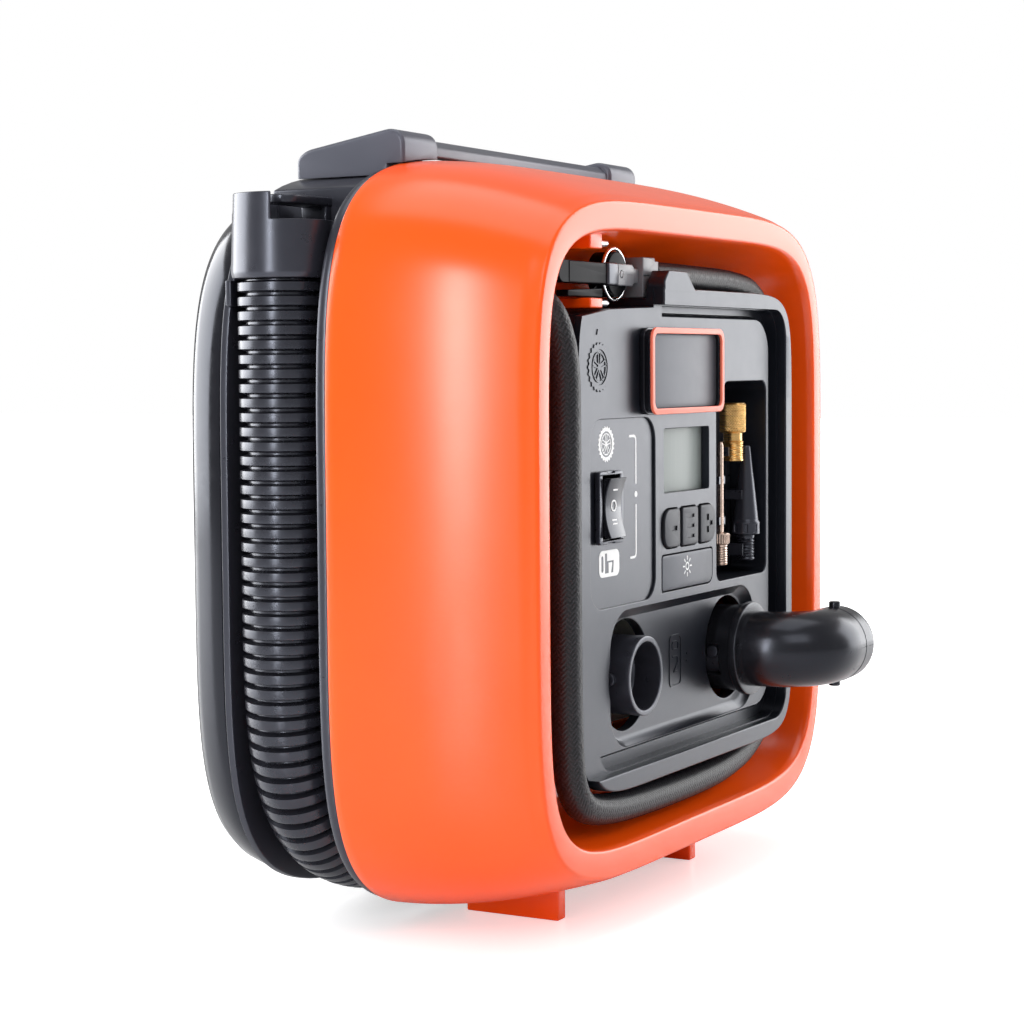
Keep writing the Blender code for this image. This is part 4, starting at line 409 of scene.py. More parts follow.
def slab(outline, across, axis="y", edge=0.0, holes=(), resolution=2):
    """An outline with thickness: (x, z) across Y, (y, z) across X, or (x, y) across Z."""
    curve = bpy.data.curves.new("shape", "CURVE")
    curve.dimensions = "2D"
    curve.fill_mode = "BOTH"
    for points in (outline, *holes):
        spline = curve.splines.new("POLY")
        spline.points.add(len(points) - 1)
        for point, (first, second) in zip(spline.points, points):
            point.co = (first, second, 0, 1)
        spline.use_cyclic_u = True
    curve.extrude = (across[1] - across[0]) / 2 - edge
    if edge:
        curve.bevel_depth = edge
        curve.bevel_resolution = resolution
        curve.offset = -edge
    maker = holder(curve)
    middle = (across[0] + across[1]) / 2
    shift = {"y": (0, middle, 0), "x": (middle, 0, 0), "z": (0, 0, middle)}[axis]
    maker.matrix_world = Matrix.Translation(shift) @ SLAB_TURNS[axis]
    return cleaned(taken(maker))


def superellipse(shape, centre=(0.0, 0.0), count=FINE):
    """Points (x, z) round a section of (half width, half height, power)."""
    half_width, half_height, power = shape
    points = []
    for step in range(count):
        angle = 2 * math.pi * step / count
        across = math.copysign(abs(math.cos(angle)) ** (2 / power), math.cos(angle))
        up = math.copysign(abs(math.sin(angle)) ** (2 / power), math.sin(angle))
        points.append((centre[0] + half_width * across, centre[1] + half_height * up))
    return points


def height_at(shape, x):
    """A section's height above its centre at an x."""
    return shape[1] * (1 - abs(x / shape[0]) ** shape[2]) ** (1 / shape[2])


def grown(shape, amount):
    return (shape[0] + amount, shape[1] + amount, shape[2])


def span(middle, half):
    return (middle - half, middle + half)


def drawn_in(ends, amount):
    """A span made shorter at both ends, or longer by a negative amount."""
    return (ends[0] + amount, ends[1] - amount)


def sided(side, low, high):
    """The span from low to high on the right, or its mirror on the left."""
    return sorted((side * low, side * high))


def between(first, second, share):
    return tuple(a + (b - a) * share for a, b in zip(first, second))


def stack(rows, closed=False):
    """A solid through outlines of equal counts, each ((x, z) points, y): a ring when closed, else capped."""
    points = [(x, y, z) for outline, y in rows for x, z in outline]
    count, total = len(rows[0][0]), len(rows)
    faces = []
    for row in range(total if closed else total - 1):
        low, high = row * count, (row + 1) % total * count
        for k in range(count):
            after = (k + 1) % count
            faces.append((low + k, high + k, high + after, low + after))
    if not closed:
        faces.append(tuple(range(count)))
        faces.append(tuple((total - 1) * count + k for k in range(count))[::-1])
    return from_arrays(points, faces)


def loft(sections, closed=False):
    """A solid through casing sections of (shape, centre height, y)."""
    return stack([(superellipse(shape, (0.0, rise)), y) for shape, rise, y in sections], closed)


def rounded_rectangle(x, z, radius, corner_points=8):
    """Points (x, z) round a rectangle; radius is one number or four, from the lower right on."""
    radii = radius if isinstance(radius, tuple) else (radius,) * 4
    corners = ((x[1], z[0], -90), (x[1], z[1], 0), (x[0], z[1], 90), (x[0], z[0], 180))
    points = []
    for (corner_x, corner_z, start), size in zip(corners, radii):
        middle_x = corner_x - math.copysign(size, corner_x - (x[0] + x[1]) / 2)
        middle_z = corner_z - math.copysign(size, corner_z - (z[0] + z[1]) / 2)
        count = corner_points if size else 1
        for step in range(count):
            angle = math.radians(start + 90 * step / max(count - 1, 1))
            points.append((middle_x + size * math.cos(angle), middle_z + size * math.sin(angle)))
    return points


def circle(centre, radius, count=48, wave=0.0, lobes=0):
    """Points round a circle, or round a wavy one with that many lobes."""
    turn = 2 * math.pi / count
    points = []
    for k in range(count):
        size = radius + (wave * math.cos(lobes * k * turn) if lobes else 0.0)
        points.append((centre[0] + size * math.cos(k * turn), centre[1] + size * math.sin(k * turn)))
    return points


def smooth_route(route, per_span):
    """Points of a smooth curve through every place of a route."""
    places = [Vector(place) for place in route]
    ends = [2 * places[0] - places[1]] + places + [2 * places[-1] - places[-2]]
    points = []
    for before, start, end, after in zip(ends, ends[1:], ends[2:], ends[3:]):
        for step in range(per_span):
            t = step / per_span
            points.append(0.5 * (2 * start + (end - before) * t
                                 + (2 * before - 5 * start + 4 * end - after) * t * t
                                 + (3 * start - before - 3 * end + after) * t ** 3))
    points.append(places[-1])
    return points


def resampled(points, step):
    """Points at an even step along a line, and their distances from its start."""
    line = np.array([tuple(p) for p in points], float)
    spans = np.linalg.norm(np.diff(line, axis=0), axis=1)
    lengths = np.concatenate([[0], np.cumsum(spans)])
    count = max(2, round(lengths[-1] / step) + 1)
    wanted = np.linspace(0, lengths[-1], count)
    return np.stack([np.interp(wanted, lengths, line[:, k]) for k in range(3)], 1), wanted


def evened(points, times):
    """Smooth a line of points in place, keeping its ends."""
    for _ in range(times):
        points[1:-1] = (points[:-2] + 2 * points[1:-1] + points[2:]) / 4


def swept(points, distances, radius, around=48, relief=None):
    """A tube along a line with capped ends. relief(angle, distance) adds to the radius.

    Returns the mesh, with the relief's share of its own height as a point attribute."""
    count = len(points)
    tangents = np.gradient(points, axis=0)
    tangents /= np.linalg.norm(tangents, axis=1)[:, None]
    normal = np.cross(tangents[0], (0.0, 1.0, 0.0))
    if np.linalg.norm(normal) < 0.1:
        normal = np.cross(tangents[0], (0.0, 0.0, 1.0))
    normals = []
    for tangent in tangents:
        normal = normal - tangent * (normal @ tangent)
        normal /= np.linalg.norm(normal)
        normals.append(normal)
    normals = np.array(normals)
    sides = np.cross(tangents, normals)
    angles = np.arange(around) * 2 * math.pi / around
    radii = (np.asarray(radius, float) * np.ones(count))[:, None] * np.ones(around)
    lift = np.zeros_like(radii)
    if relief:
        lift = relief(np.ones((count, 1)) * angles, distances[:, None] * np.ones(around))
        radii = radii + lift
    verts = (points[:, None, :] + radii[..., None] * (np.cos(angles)[None, :, None] * normals[:, None, :]
                                                      + np.sin(angles)[None, :, None] * sides[:, None, :]))
    index = np.arange(count * around).reshape(count, around)
    after = np.roll(index, -1, axis=1)
    quads = np.stack([index[:-1], after[:-1], after[1:], index[1:]], -1).reshape(-1, 4)
    mesh = bpy.data.meshes.new("shape")
    faces = [tuple(q) for q in quads] + [tuple(index[0])[::-1], tuple(index[-1])]
    mesh.from_pydata([tuple(v) for v in verts.reshape(-1, 3)], [], faces)
    if relief:
        span = max(1e-9, float(lift.max() - lift.min()))
        attribute = mesh.attributes.new("relief", "FLOAT", "POINT")
        attribute.data.foreach_set("value", ((lift - lift.min()) / span).astype(np.float32).ravel())
    return mesh


def piece(name, mesh, look, body="casing", replaces=(), sharp=35.0):
    """Put a plan mesh in its place, on a body, in a material."""
    mesh.name = name
    mesh.transform(PLAN_TO_WORLD)
    made = bpy.data.objects.new(name, mesh)
    bpy.context.scene.collection.objects.link(made)
    mesh.materials.clear()
    mesh.materials.append(MATERIALS[look])
    mesh.shade_smooth()
    mesh.set_sharp_from_angle(angle=math.radians(sharp))
    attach(made, body)
    if replaces:
        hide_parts(*([replaces] if isinstance(replaces, str) else replaces))
    return made


def merged(*meshes):
    """Several meshes as one, not joined into one solid."""
    bm = bmesh.new()
    for mesh in meshes:
        bm.from_mesh(mesh)
    return from_bmesh(bm)


# ---------------------------------------------------------------- casing

# Sections are superellipses, each (half width, half height, power).
RING_OUT = (106.3, 100.0, 5.5)
RING_IN = (98.8, 91.0, 6.3)
SHELL_BACK = (119.3, 113.0, 5.0)
SHELL_RISE = 1.0
SHELL_BACK_Y = 61.0
SHELL_WALL = 2.6
FUNNEL_FLOOR = (86.0, 79.0, 6.0)
FLOOR_OPENING = (66.0, 62.0, 6.0)
FLOOR_Y = 24.0
FLOOR_WALL = 2.5
FOOT_X = 48.0
FOOT_WIDTH = 5.0
FOOT_Y = (24.0, 56.0)
PIN_X = (-54.4, -48.0)
PIN_Y = 8.0
PIN_Z = (87.4, 69.7)
FITTING = (-80.0, 19.5, 72.0)
FITTING_RADIUS = 6.0


def shell_outer(share):
    """The shell's outer section, its centre's height and its Y at a share of the shell's depth."""
    swell = 1 - (1 - share) ** 1.8
    return between(RING_OUT, SHELL_BACK, swell), SHELL_RISE * swell, share * SHELL_BACK_Y


def funnel(y):
    """Section of the recess's wall at a depth, from the ring to the floor."""
    depths = (0.0, 3.0, 6.5, 10.0, 13.5, 17.0, 19.5, 21.6, 23.0, 24.0)
    shares = (0.0, 0.035, 0.082, 0.14, 0.235, 0.36, 0.51, 0.7, 0.86, 1.0)
    return between(RING_IN, FUNNEL_FLOOR, float(np.interp(y, depths, shares)))


def shell_skin():
    lip = 1.3
    sections = []
    for k in range(5):
        turn = math.radians(22.5 * k)
        inset = -lip * (1 - math.sin(turn)) + 0.1 * k / 4
        sections.append((grown(RING_OUT, inset), 0.0, lip * (1 - math.cos(turn))))
    for k in range(1, 25):
        share = (k / 24) ** 1.15
        if share * SHELL_BACK_Y > lip + 0.4:
            sections.append(shell_outer(share * 0.992))
    shape, rise, _ = shell_outer(1.0)
    sections += [(grown(shape, -0.15), rise, SHELL_BACK_Y - 0.2), (grown(shape, -0.6), rise, SHELL_BACK_Y)]
    for share in (1.0, 0.4, 0.06):
        shape, rise, y = shell_outer(share)
        sections.append((grown(shape, -SHELL_WALL), rise, max(y, SHELL_WALL)))
    sections += [
        (grown(RING_IN, SHELL_WALL + 0.4), 0.0, SHELL_WALL),
        (grown(funnel(17.0), SHELL_WALL), 0.0, 18.5),
        (grown(FUNNEL_FLOOR, 1.8), 0.0, FLOOR_Y + FLOOR_WALL),
        (FLOOR_OPENING, 0.0, FLOOR_Y + FLOOR_WALL),
        (FLOOR_OPENING, 0.0, FLOOR_Y),
    ]
    for y in (24.0, 23.5, 22.8, 21.6, 20.2, 18.6, 17.0, 15.0, 13.0, 10.5, 8.0, 5.5, 3.0, 1.2):
        sections.append((funnel(y), 0.0, y))
    for k in range(4):
        turn = math.radians(30 * k)
        sections.append((grown(RING_IN, 0.9 * (1 - math.cos(turn))), 0.0, 0.9 * (1 - math.sin(turn))))
    shell = loft(sections, closed=True)
    joins, cuts = [], []
    foot_top = -height_at(RING_OUT, FOOT_X) - 1.0
    for side in (-1, 1):
        foot_x = sided(side, *span(FOOT_X, FOOT_WIDTH / 2))
        joins.append(box(foot_x, FOOT_Y, (-RING_HEIGHT, foot_top), 0.5))
    lug_x = (PIN_X[0] - 8.0, PIN_X[0])
    for height, below, above in zip(PIN_Z, (2.0, 1.6), (2.6, 1.4)):
        joins.append(box(lug_x, (PIN_Y - 2.2, FLOOR_Y + 1.0), (height - below, height + above), 0.5))
    cuts.append(rod((FITTING[0], 9.0, FITTING[2]), FITTING_RADIUS + GAP, 31.0, edge=0))
    piece("shell_skin", shaped(shell, joins, cuts), "orange", replaces="front_shell")
    for name, height in zip(("parking_pin_upper", "parking_pin_lower"), PIN_Z):
        pin = rod((PIN_X[0] - 0.4, PIN_Y, height), 1.0, PIN_X[1] - PIN_X[0] + 0.4, "x", 0.25, 32)
        piece(name + "_bright", pin, "steel", replaces=name)


FLANGE = (118.6, 112.4, 5.0)
FLANGE_FRONT = SHELL_BACK_Y + GAP
GROOVE = (64.6, 97.3)
LIP = (115.5, 109.5, 4.8)
LIP_BACK = 100.0
CORE_OUT = (93.2, 84.2, 4.8)
CORE_WALL = 2.5
SADDLE_TOP = (116.5, 110.5, 5.0)
SADDLE_HALF = 90.0
SADDLE_OPENING = ((-57.0, 57.0), (66.5, 95.5), (92.0, 130.0))
HOSE_X = 107.5
HOSE_Y = 82.0
HOSE_TOP_Z = 76.7
CUFF_HEIGHT = 24.3
CUFF_TOP = HOSE_TOP_Z + GAP + CUFF_HEIGHT
SPIGOT = 12.05
SPIGOT_BORE = 10.15
SOCKET = 12.4


def frame_skin():
    inner = grown(CORE_OUT, -CORE_WALL)
    rise = SHELL_RISE
    front, groove_front, groove_back = FLANGE_FRONT, GROOVE[0], GROOVE[1]
    frame_ring = loft([
        (inner, 0.0, front), (grown(FLANGE, -0.9), rise, front), (grown(FLANGE, -0.25), rise, front + 0.25),
        (FLANGE, rise, front + 0.9), (FLANGE, rise, groove_front - 0.9),
        (grown(FLANGE, -0.25), rise, groove_front - 0.25), (grown(FLANGE, -0.9), rise, groove_front),
        (grown(CORE_OUT, 1.2), 0.0, groove_front), (CORE_OUT, 0.0, groove_front + 1.2),
        (CORE_OUT, 0.0, groove_back - 1.2), (grown(CORE_OUT, 1.2), 0.0, groove_back),
        (grown(LIP, -0.9), 0.0, groove_back), (grown(LIP, -0.2), 0.0, groove_back + 0.3),
        (LIP, 0.0, groove_back + 0.9), (LIP, 0.0, LIP_BACK - 0.5), (grown(LIP, -0.4), 0.0, LIP_BACK),
        (inner, 0.0, LIP_BACK),
    ], closed=True)
    half = SADDLE_HALF
    steps = 40
    outline = []
    for k in range(steps + 1):
        x = half - 2 * half * k / steps
        outline.append((x, SHELL_RISE / 2 + height_at(SADDLE_TOP, x)))
    foot = half - 4.0
    base = grown(CORE_OUT, -CORE_WALL / 2)
    for k in range(steps + 1):
        x = -foot + 2 * foot * k / steps
        outline.append((x, height_at(base, x)))
    saddle = shaped(slab(outline, (groove_front - 0.5, groove_back + 0.5)),
                    cuts=[box(*SADDLE_OPENING, 2.0, 4)], bevel=0.7, segments=3)
    joins = [saddle]
    for side in (-1, 1):
        arm_x = sided(side, half - 3.0, HOSE_X + 4.5)
        round_end = (4.8, 4.8, 0.0, 0.0) if side > 0 else (0.0, 0.0, 4.8, 4.8)
        tongue = rounded_rectangle(arm_x, (77.0, 87.0), round_end, 8)
        joins.append(slab(tongue, (CUFF_TOP - 2.7, CUFF_TOP - 0.1), "z", 0.5))
        joins.append(box(sided(side, half - 3.0, HOSE_X - 15.6), (77.5, 86.5),
                         (CUFF_TOP - 7.5, CUFF_TOP - 2.2), 0.6))
        top, low, inside = CUFF_TOP - 8.6, CUFF_TOP - 17.0, CUFF_TOP - 11.0
        stub = softened([(0, top), (SPIGOT, top), (SPIGOT, low), (SPIGOT_BORE, low), (SPIGOT_BORE, inside),
                         (0, inside)], 0.4)
        joins.append(revolved((side * HOSE_X, HOSE_Y, 0.0), stub, "z", 56))
        joins.append(box(sided(side, 110.0, 114.5), (95.9, groove_back + 0.6), (69.4, 76.8), 0.4))
    piece("frame_skin", shaped(frame_ring, joins), "black", replaces="mid_frame")


REAR_OUT = (114.8, 108.8, 4.6)
REAR_FRONT = LIP_BACK + GAP
REAR_BACK = 119.5
REAR_WALL = 2.6
PAD_DEPTH = 2.5
PAD_HEIGHT = 26.0
PAD_BOTTOMS = (60.0, -86.0)
PAD_X = (-70.0, 70.0)
VENT_X = (-28.0, 28.0)
VENT_PITCH = 8.0
VENTS = 5
REAR_SCREWS = ((-80.0, 48.0), (80.0, 48.0), (-80.0, -48.0), (80.0, -48.0))
GLAND = (52.0, -42.0)


def rear_skin():
    back = REAR_BACK
    outside = [(grown(REAR_OUT, -0.5), 0.0, REAR_FRONT), (grown(REAR_OUT, -0.1), 0.0, REAR_FRONT + 0.4)]
    for y, inset in ((1.0, 0.0), (5.0, -0.6), (9.5, -1.8), (12.5, -3.4), (14.2, -6.0), (16.4, -9.0),
                     (18.2, -12.4), (19.2, -16.0)):
        outside.append((grown(REAR_OUT, inset), 0.0, REAR_FRONT + y))
    inside = [(grown(REAR_OUT, -REAR_WALL), 0.0, REAR_FRONT - 1.0),
              (grown(REAR_OUT, -REAR_WALL - 3.4), 0.0, REAR_FRONT + 11.0),
              (grown(REAR_OUT, -REAR_WALL - 14.0), 0.0, back - REAR_WALL)]
    joins, cuts = [], [loft(inside)]
    for low in PAD_BOTTOMS:
        joins.append(box(PAD_X, (back - 1.0, back + PAD_DEPTH), (low, low + PAD_HEIGHT), 1.2, 4))
    for row in range(VENTS):
        slot = rounded_rectangle(VENT_X, span(VENT_PITCH * (row - VENTS // 2), 1.5), 1.49, 6)
        cuts.append(slab(slot, (back - 6.0, back + 2.0)))
    for x, z in REAR_SCREWS:
        cuts.append(rod((x, back - 6.0, z), 1.9, 12.0, edge=0, around=32))
    cuts.append(rod((GLAND[0], back - 6.0, GLAND[1]), 5.3, 12.0, edge=0, around=48))
    piece("rear_skin", shaped(loft(outside), joins, cuts), "gloss", replaces="rear_cover", sharp=30)
    for number, (x, z) in enumerate(REAR_SCREWS, 1):
        seat = back + GAP
        profile = [(0, seat + 2.0), (2.6, seat + 1.75), (3.6, seat + 0.9), (3.6, seat), (1.6, seat),
                   (1.6, back - 4.6), (0, back - 4.6)]
        head = revolved((x, 0.0, z), softened(profile, 0.3), "y", 40)
        slots = [box(span(x, 2.1), (seat + 1.0, seat + 4.0), span(z, 0.35)),
                 box(span(x, 0.36), (seat + 0.98, seat + 4.1), span(z, 2.12))]
        piece(f"rear_screw_head_{number}", shaped(head, cuts=slots), "steel", replaces=f"rear_screw_{number}")
    gland = revolved((GLAND[0], 0.0, GLAND[1]), softened([
        (3.2, back + 2.4), (5.0, back + 2.4), (7.4, back + 1.4), (7.4, back + GAP), (5.0, back + GAP),
        (5.0, back - REAR_WALL - 2.5), (3.2, back - REAR_WALL - 2.5)], 0.4, closed=True), "y", 56, closed=True)
    piece("gland_sleeve", gland, "rubber", replaces="cord_gland")
    pad = box((-21.0, 21.0), (101.5, 113.0), (-RING_HEIGHT, -height_at(REAR_OUT, 0.0) - GAP), 0.6)
    grooves = [box(span(x, 0.5), (100.0, 115.0), (-RING_HEIGHT - 1.0, -RING_HEIGHT + 0.5))
               for x in range(-15, 16, 6)]
    piece("rear_foot_pad", shaped(pad, cuts=grooves), "rubber", replaces="rear_foot")


HANDLE_HALF = 78.5
HANDLE_INNER = 58.0
HANDLE_FRONT = 59.0
HANDLE_BACK = 97.0
HANDLE_TOP = 121.3
HANDLE_BAR_LOW = 116.7
HANDLE_BAR_BACK = 72.0


def handle_skin():
    bar_top, block_top = HANDLE_TOP - 1.4, HANDLE_TOP + 0.5
    front, lip_low = HANDLE_FRONT, HANDLE_BAR_LOW - 2.3
    bar_profile = [(front + 1.5, lip_low), (front + 5.6, lip_low), (front + 6.6, HANDLE_BAR_LOW),
                   (HANDLE_BAR_BACK, HANDLE_BAR_LOW), (HANDLE_BAR_BACK, bar_top - 1.8),
                   (HANDLE_BAR_BACK - 2.0, bar_top), (front + 4.5, bar_top), (front + 1.5, bar_top - 2.2)]
    bar = slab(softened(bar_profile, 0.8, 3, closed=True), span(0.0, HANDLE_INNER + 1.0), "x")
    block_profile = [(front, 104.0), (HANDLE_BACK, 104.0), (HANDLE_BACK, 114.6), (HANDLE_BACK - 3.5, 116.8),
                     (front + 5.0, block_top), (front + 1.8, block_top - 0.9), (front, block_top - 3.4)]
    joins, cuts = [], []
    for side in (-1, 1):
        block_x = sided(side, HANDLE_INNER, HANDLE_HALF)
        joins.append(slab(softened(block_profile, 1.8, 4, closed=True), block_x, "x", 1.3, resolution=4))
    over_shell = superellipse(grown(SHELL_BACK, GAP + 0.05), (0.0, SHELL_RISE))
    over_saddle = superellipse(grown(SADDLE_TOP, GAP + 0.05), (0.0, SHELL_RISE / 2))
    cuts += [slab(over_shell, (50.0, 64.9)), slab(over_saddle, (GROOVE[0], 110.0))]
    handle = shaped(bar, joins, cuts, bevel=0.3, segments=2, angle=50)
    piece("handle_skin", handle, "handle", replaces="carry_handle")


# ---------------------------------------------------------------- ribbed hose

HOSE_RADIUS = 13.5
HOSE_RIB_DEPTH = 2.4
HOSE_PATH = (107.5, 98.5, 4.4)
HOSE_PITCH = 4.15


def ribbed_hose():
    half_width, half_height, power = HOSE_PATH
    line = [(-half_width, HOSE_Y, HOSE_TOP_Z), (-half_width, HOSE_Y, HOSE_TOP_Z / 2)]
    for k in range(361):
        angle = math.pi + math.pi * k / 360
        across = math.copysign(abs(math.cos(angle)) ** (2 / power), math.cos(angle))
        line.append((half_width * across, HOSE_Y, -half_height * abs(math.sin(angle)) ** (2 / power)))
    line += [(half_width, HOSE_Y, HOSE_TOP_Z / 2), (half_width, HOSE_Y, HOSE_TOP_Z)]
    points, distances = resampled(line, HOSE_PITCH / 14)
    ribs = round(distances[-1] / HOSE_PITCH)
    pitch = distances[-1] / ribs

    def ribs_relief(_, distance):
        phase = np.abs((distance / pitch) % 1.0 - 0.5) * 2
        rise = np.clip((0.8 - phase) / 0.16, 0, 1)
        crown = 1 - 0.06 * phase ** 2
        return HOSE_RIB_DEPTH * (rise * rise * (3 - 2 * rise)) * crown

    evened(points, 2)
    hose = swept(points, distances, HOSE_RADIUS - HOSE_RIB_DEPTH, 56, ribs_relief)
    piece("ribbed_hose", hose, "ribbed", replaces="volume_hose", sharp=60)


def hose_cuff(name, side):
    """A bayonet cuff with its notch and slot, on the left (-1) or right (1) post."""
    bottom = HOSE_TOP_Z + GAP
    start = (side * HOSE_X, HOSE_Y, 0.0)
    profile = [(SOCKET, CUFF_TOP), (14.5, CUFF_TOP), (14.75, CUFF_TOP - 8.0), (15.2, bottom + 1.6),
               (14.8, bottom), (9.6, bottom), (9.6, bottom + 2.5), (SOCKET, bottom + 2.5)]
    cuff = revolved(start, softened(profile, 0.45, 4, closed=True), "z", 88, closed=True)
    reach = 19.2
    notch = box((-2.5, reach), (-reach, reach), (CUFF_TOP - 7.8, CUFF_TOP + 5.0))
    slot = box((-17.5, -10.0), (-3.4, 3.4), (CUFF_TOP - 5.5, CUFF_TOP + 5.0), 0.8)
    turn = Matrix.Diagonal((-side, 1, 1, 1)) @ Matrix.Rotation(math.radians(-60), 4, "Z")
    for cutter in (notch, slot):
        cutter.transform(Matrix.Translation(start) @ turn)
        if side > 0:
            cutter.flip_normals()
    cuff = shaped(cuff, cuts=[notch, slot], bevel=0.25, segments=2, angle=55)
    piece(name + "_skin", cuff, "black", replaces=name)


# ---------------------------------------------------------------- panel

CENTRE_X = 3.0
PANEL_RIM = (76.8, 74.9, 9.5)
PANEL_SKIRT = (73.7, 71.8, 9.5)
RIM_Y = 0.5
FACE_Y = 4.0
TROUGH_Y = 8.0
PANEL_BACK = FLOOR_Y - GAP
TAB = ((-22.8, 70.0), (-22.8, 77.0), (-19.5, 80.2), (-6.7, 80.2), (0.0, 74.5), (0.0, 70.0))
TOP_LEFT = ((-110.0, 60.6), (-69.4, 65.9), (-53.7, 67.9), (-23.5, 69.2))
RIM_INNER = (74.2, -69.2, 69.8)       # right, bottom, top
ISLAND = (67.3, -63.8, 66.5)          # right, bottom, top
BAY_X = (23.5, 65.0)
BAY_Z = (-19.0, 45.8)
BAY_BACK = 19.0
BADGE_CENTRE = (-7.0, 49.6)
BADGE_SIZE = (53.6, 26.3)
SWITCH = (-55.0, 9.7)
BEZEL = (15.8, 21.4)
PLATE_X = (-66.5, -22.8)
PLATE_Z = (-20.0, 35.6)
PLATE_Y = FACE_Y + 0.8
DISPLAY_X = (-16.4, 17.5)
DISPLAY_Z = (11.8, 31.7)
KEY_Z = (-5.3, 6.7)
KEY_X = ((-18.0, -6.4), (-4.8, 7.3), (9.0, 20.6))
LIGHT_X = (-18.1, 19.8)
LIGHT_Z = (-18.6, -7.6)
PORT_X = 38.0
PORT_Z = -42.0
PORT_HOLE = 17.0
RECESS_X = (-54.0, 54.0)        # the ports' recess
RECESS_Z = (-63.0, -22.0)
RECESS_Y = 7.0
THROUGH_Y = 12.0                # behind the panel's wall
KEY_BASE_Y = (6.92, 7.88)       # the rubber flange behind a key
POCKET = 0.35


def lipped(outline_at, face, back, lip=0.4, slope=0.0):
    """A cutter whose opening at a face has a rounded edge; outline_at(growth) gives its points."""
    rows = [(outline_at(lip), face - 6.0), (outline_at(lip), face - 0.01)]
    for wider, deeper in ((0.62, 0.08), (0.3, 0.3), (0.08, 0.62), (0.0, 1.0)):
        rows.append((outline_at(lip * wider), face + lip * deeper))
    return stack(rows + [(outline_at(-slope), back)])


def grown_rectangle(x, z, radius, points=8):
    """A rounded rectangle as a function of how much wider than its spans it is."""
    def outline_at(growth):
        radii = radius if isinstance(radius, tuple) else (radius,) * 4
        radii = tuple(size + growth if size else 0.0 for size in radii)
        return rounded_rectangle(drawn_in(x, -growth), drawn_in(z, -growth), radii, points)
    return outline_at


def bay_outline(growth=0.0):
    """The accessory bay's opening, with a slanting upper left corner."""
    x, z = drawn_in(BAY_X, -growth), drawn_in(BAY_Z, -growth)
    outline = rounded_rectangle(x, z, (3.5, 3.5, 0.0, 3.5), 8)
    corner = outline.index(min(outline, key=lambda p: (p[0] - BAY_X[0]) ** 2 + (p[1] - BAY_Z[1]) ** 2))
    slant = [(x[0] + 14.0, z[1]), (x[0] + 8.0, z[1]), (x[0], z[1] - 8.0), (x[0], z[1] - 14.0)]
    outline[corner:corner + 1] = softened(slant, 2.0, 4)
    return outline


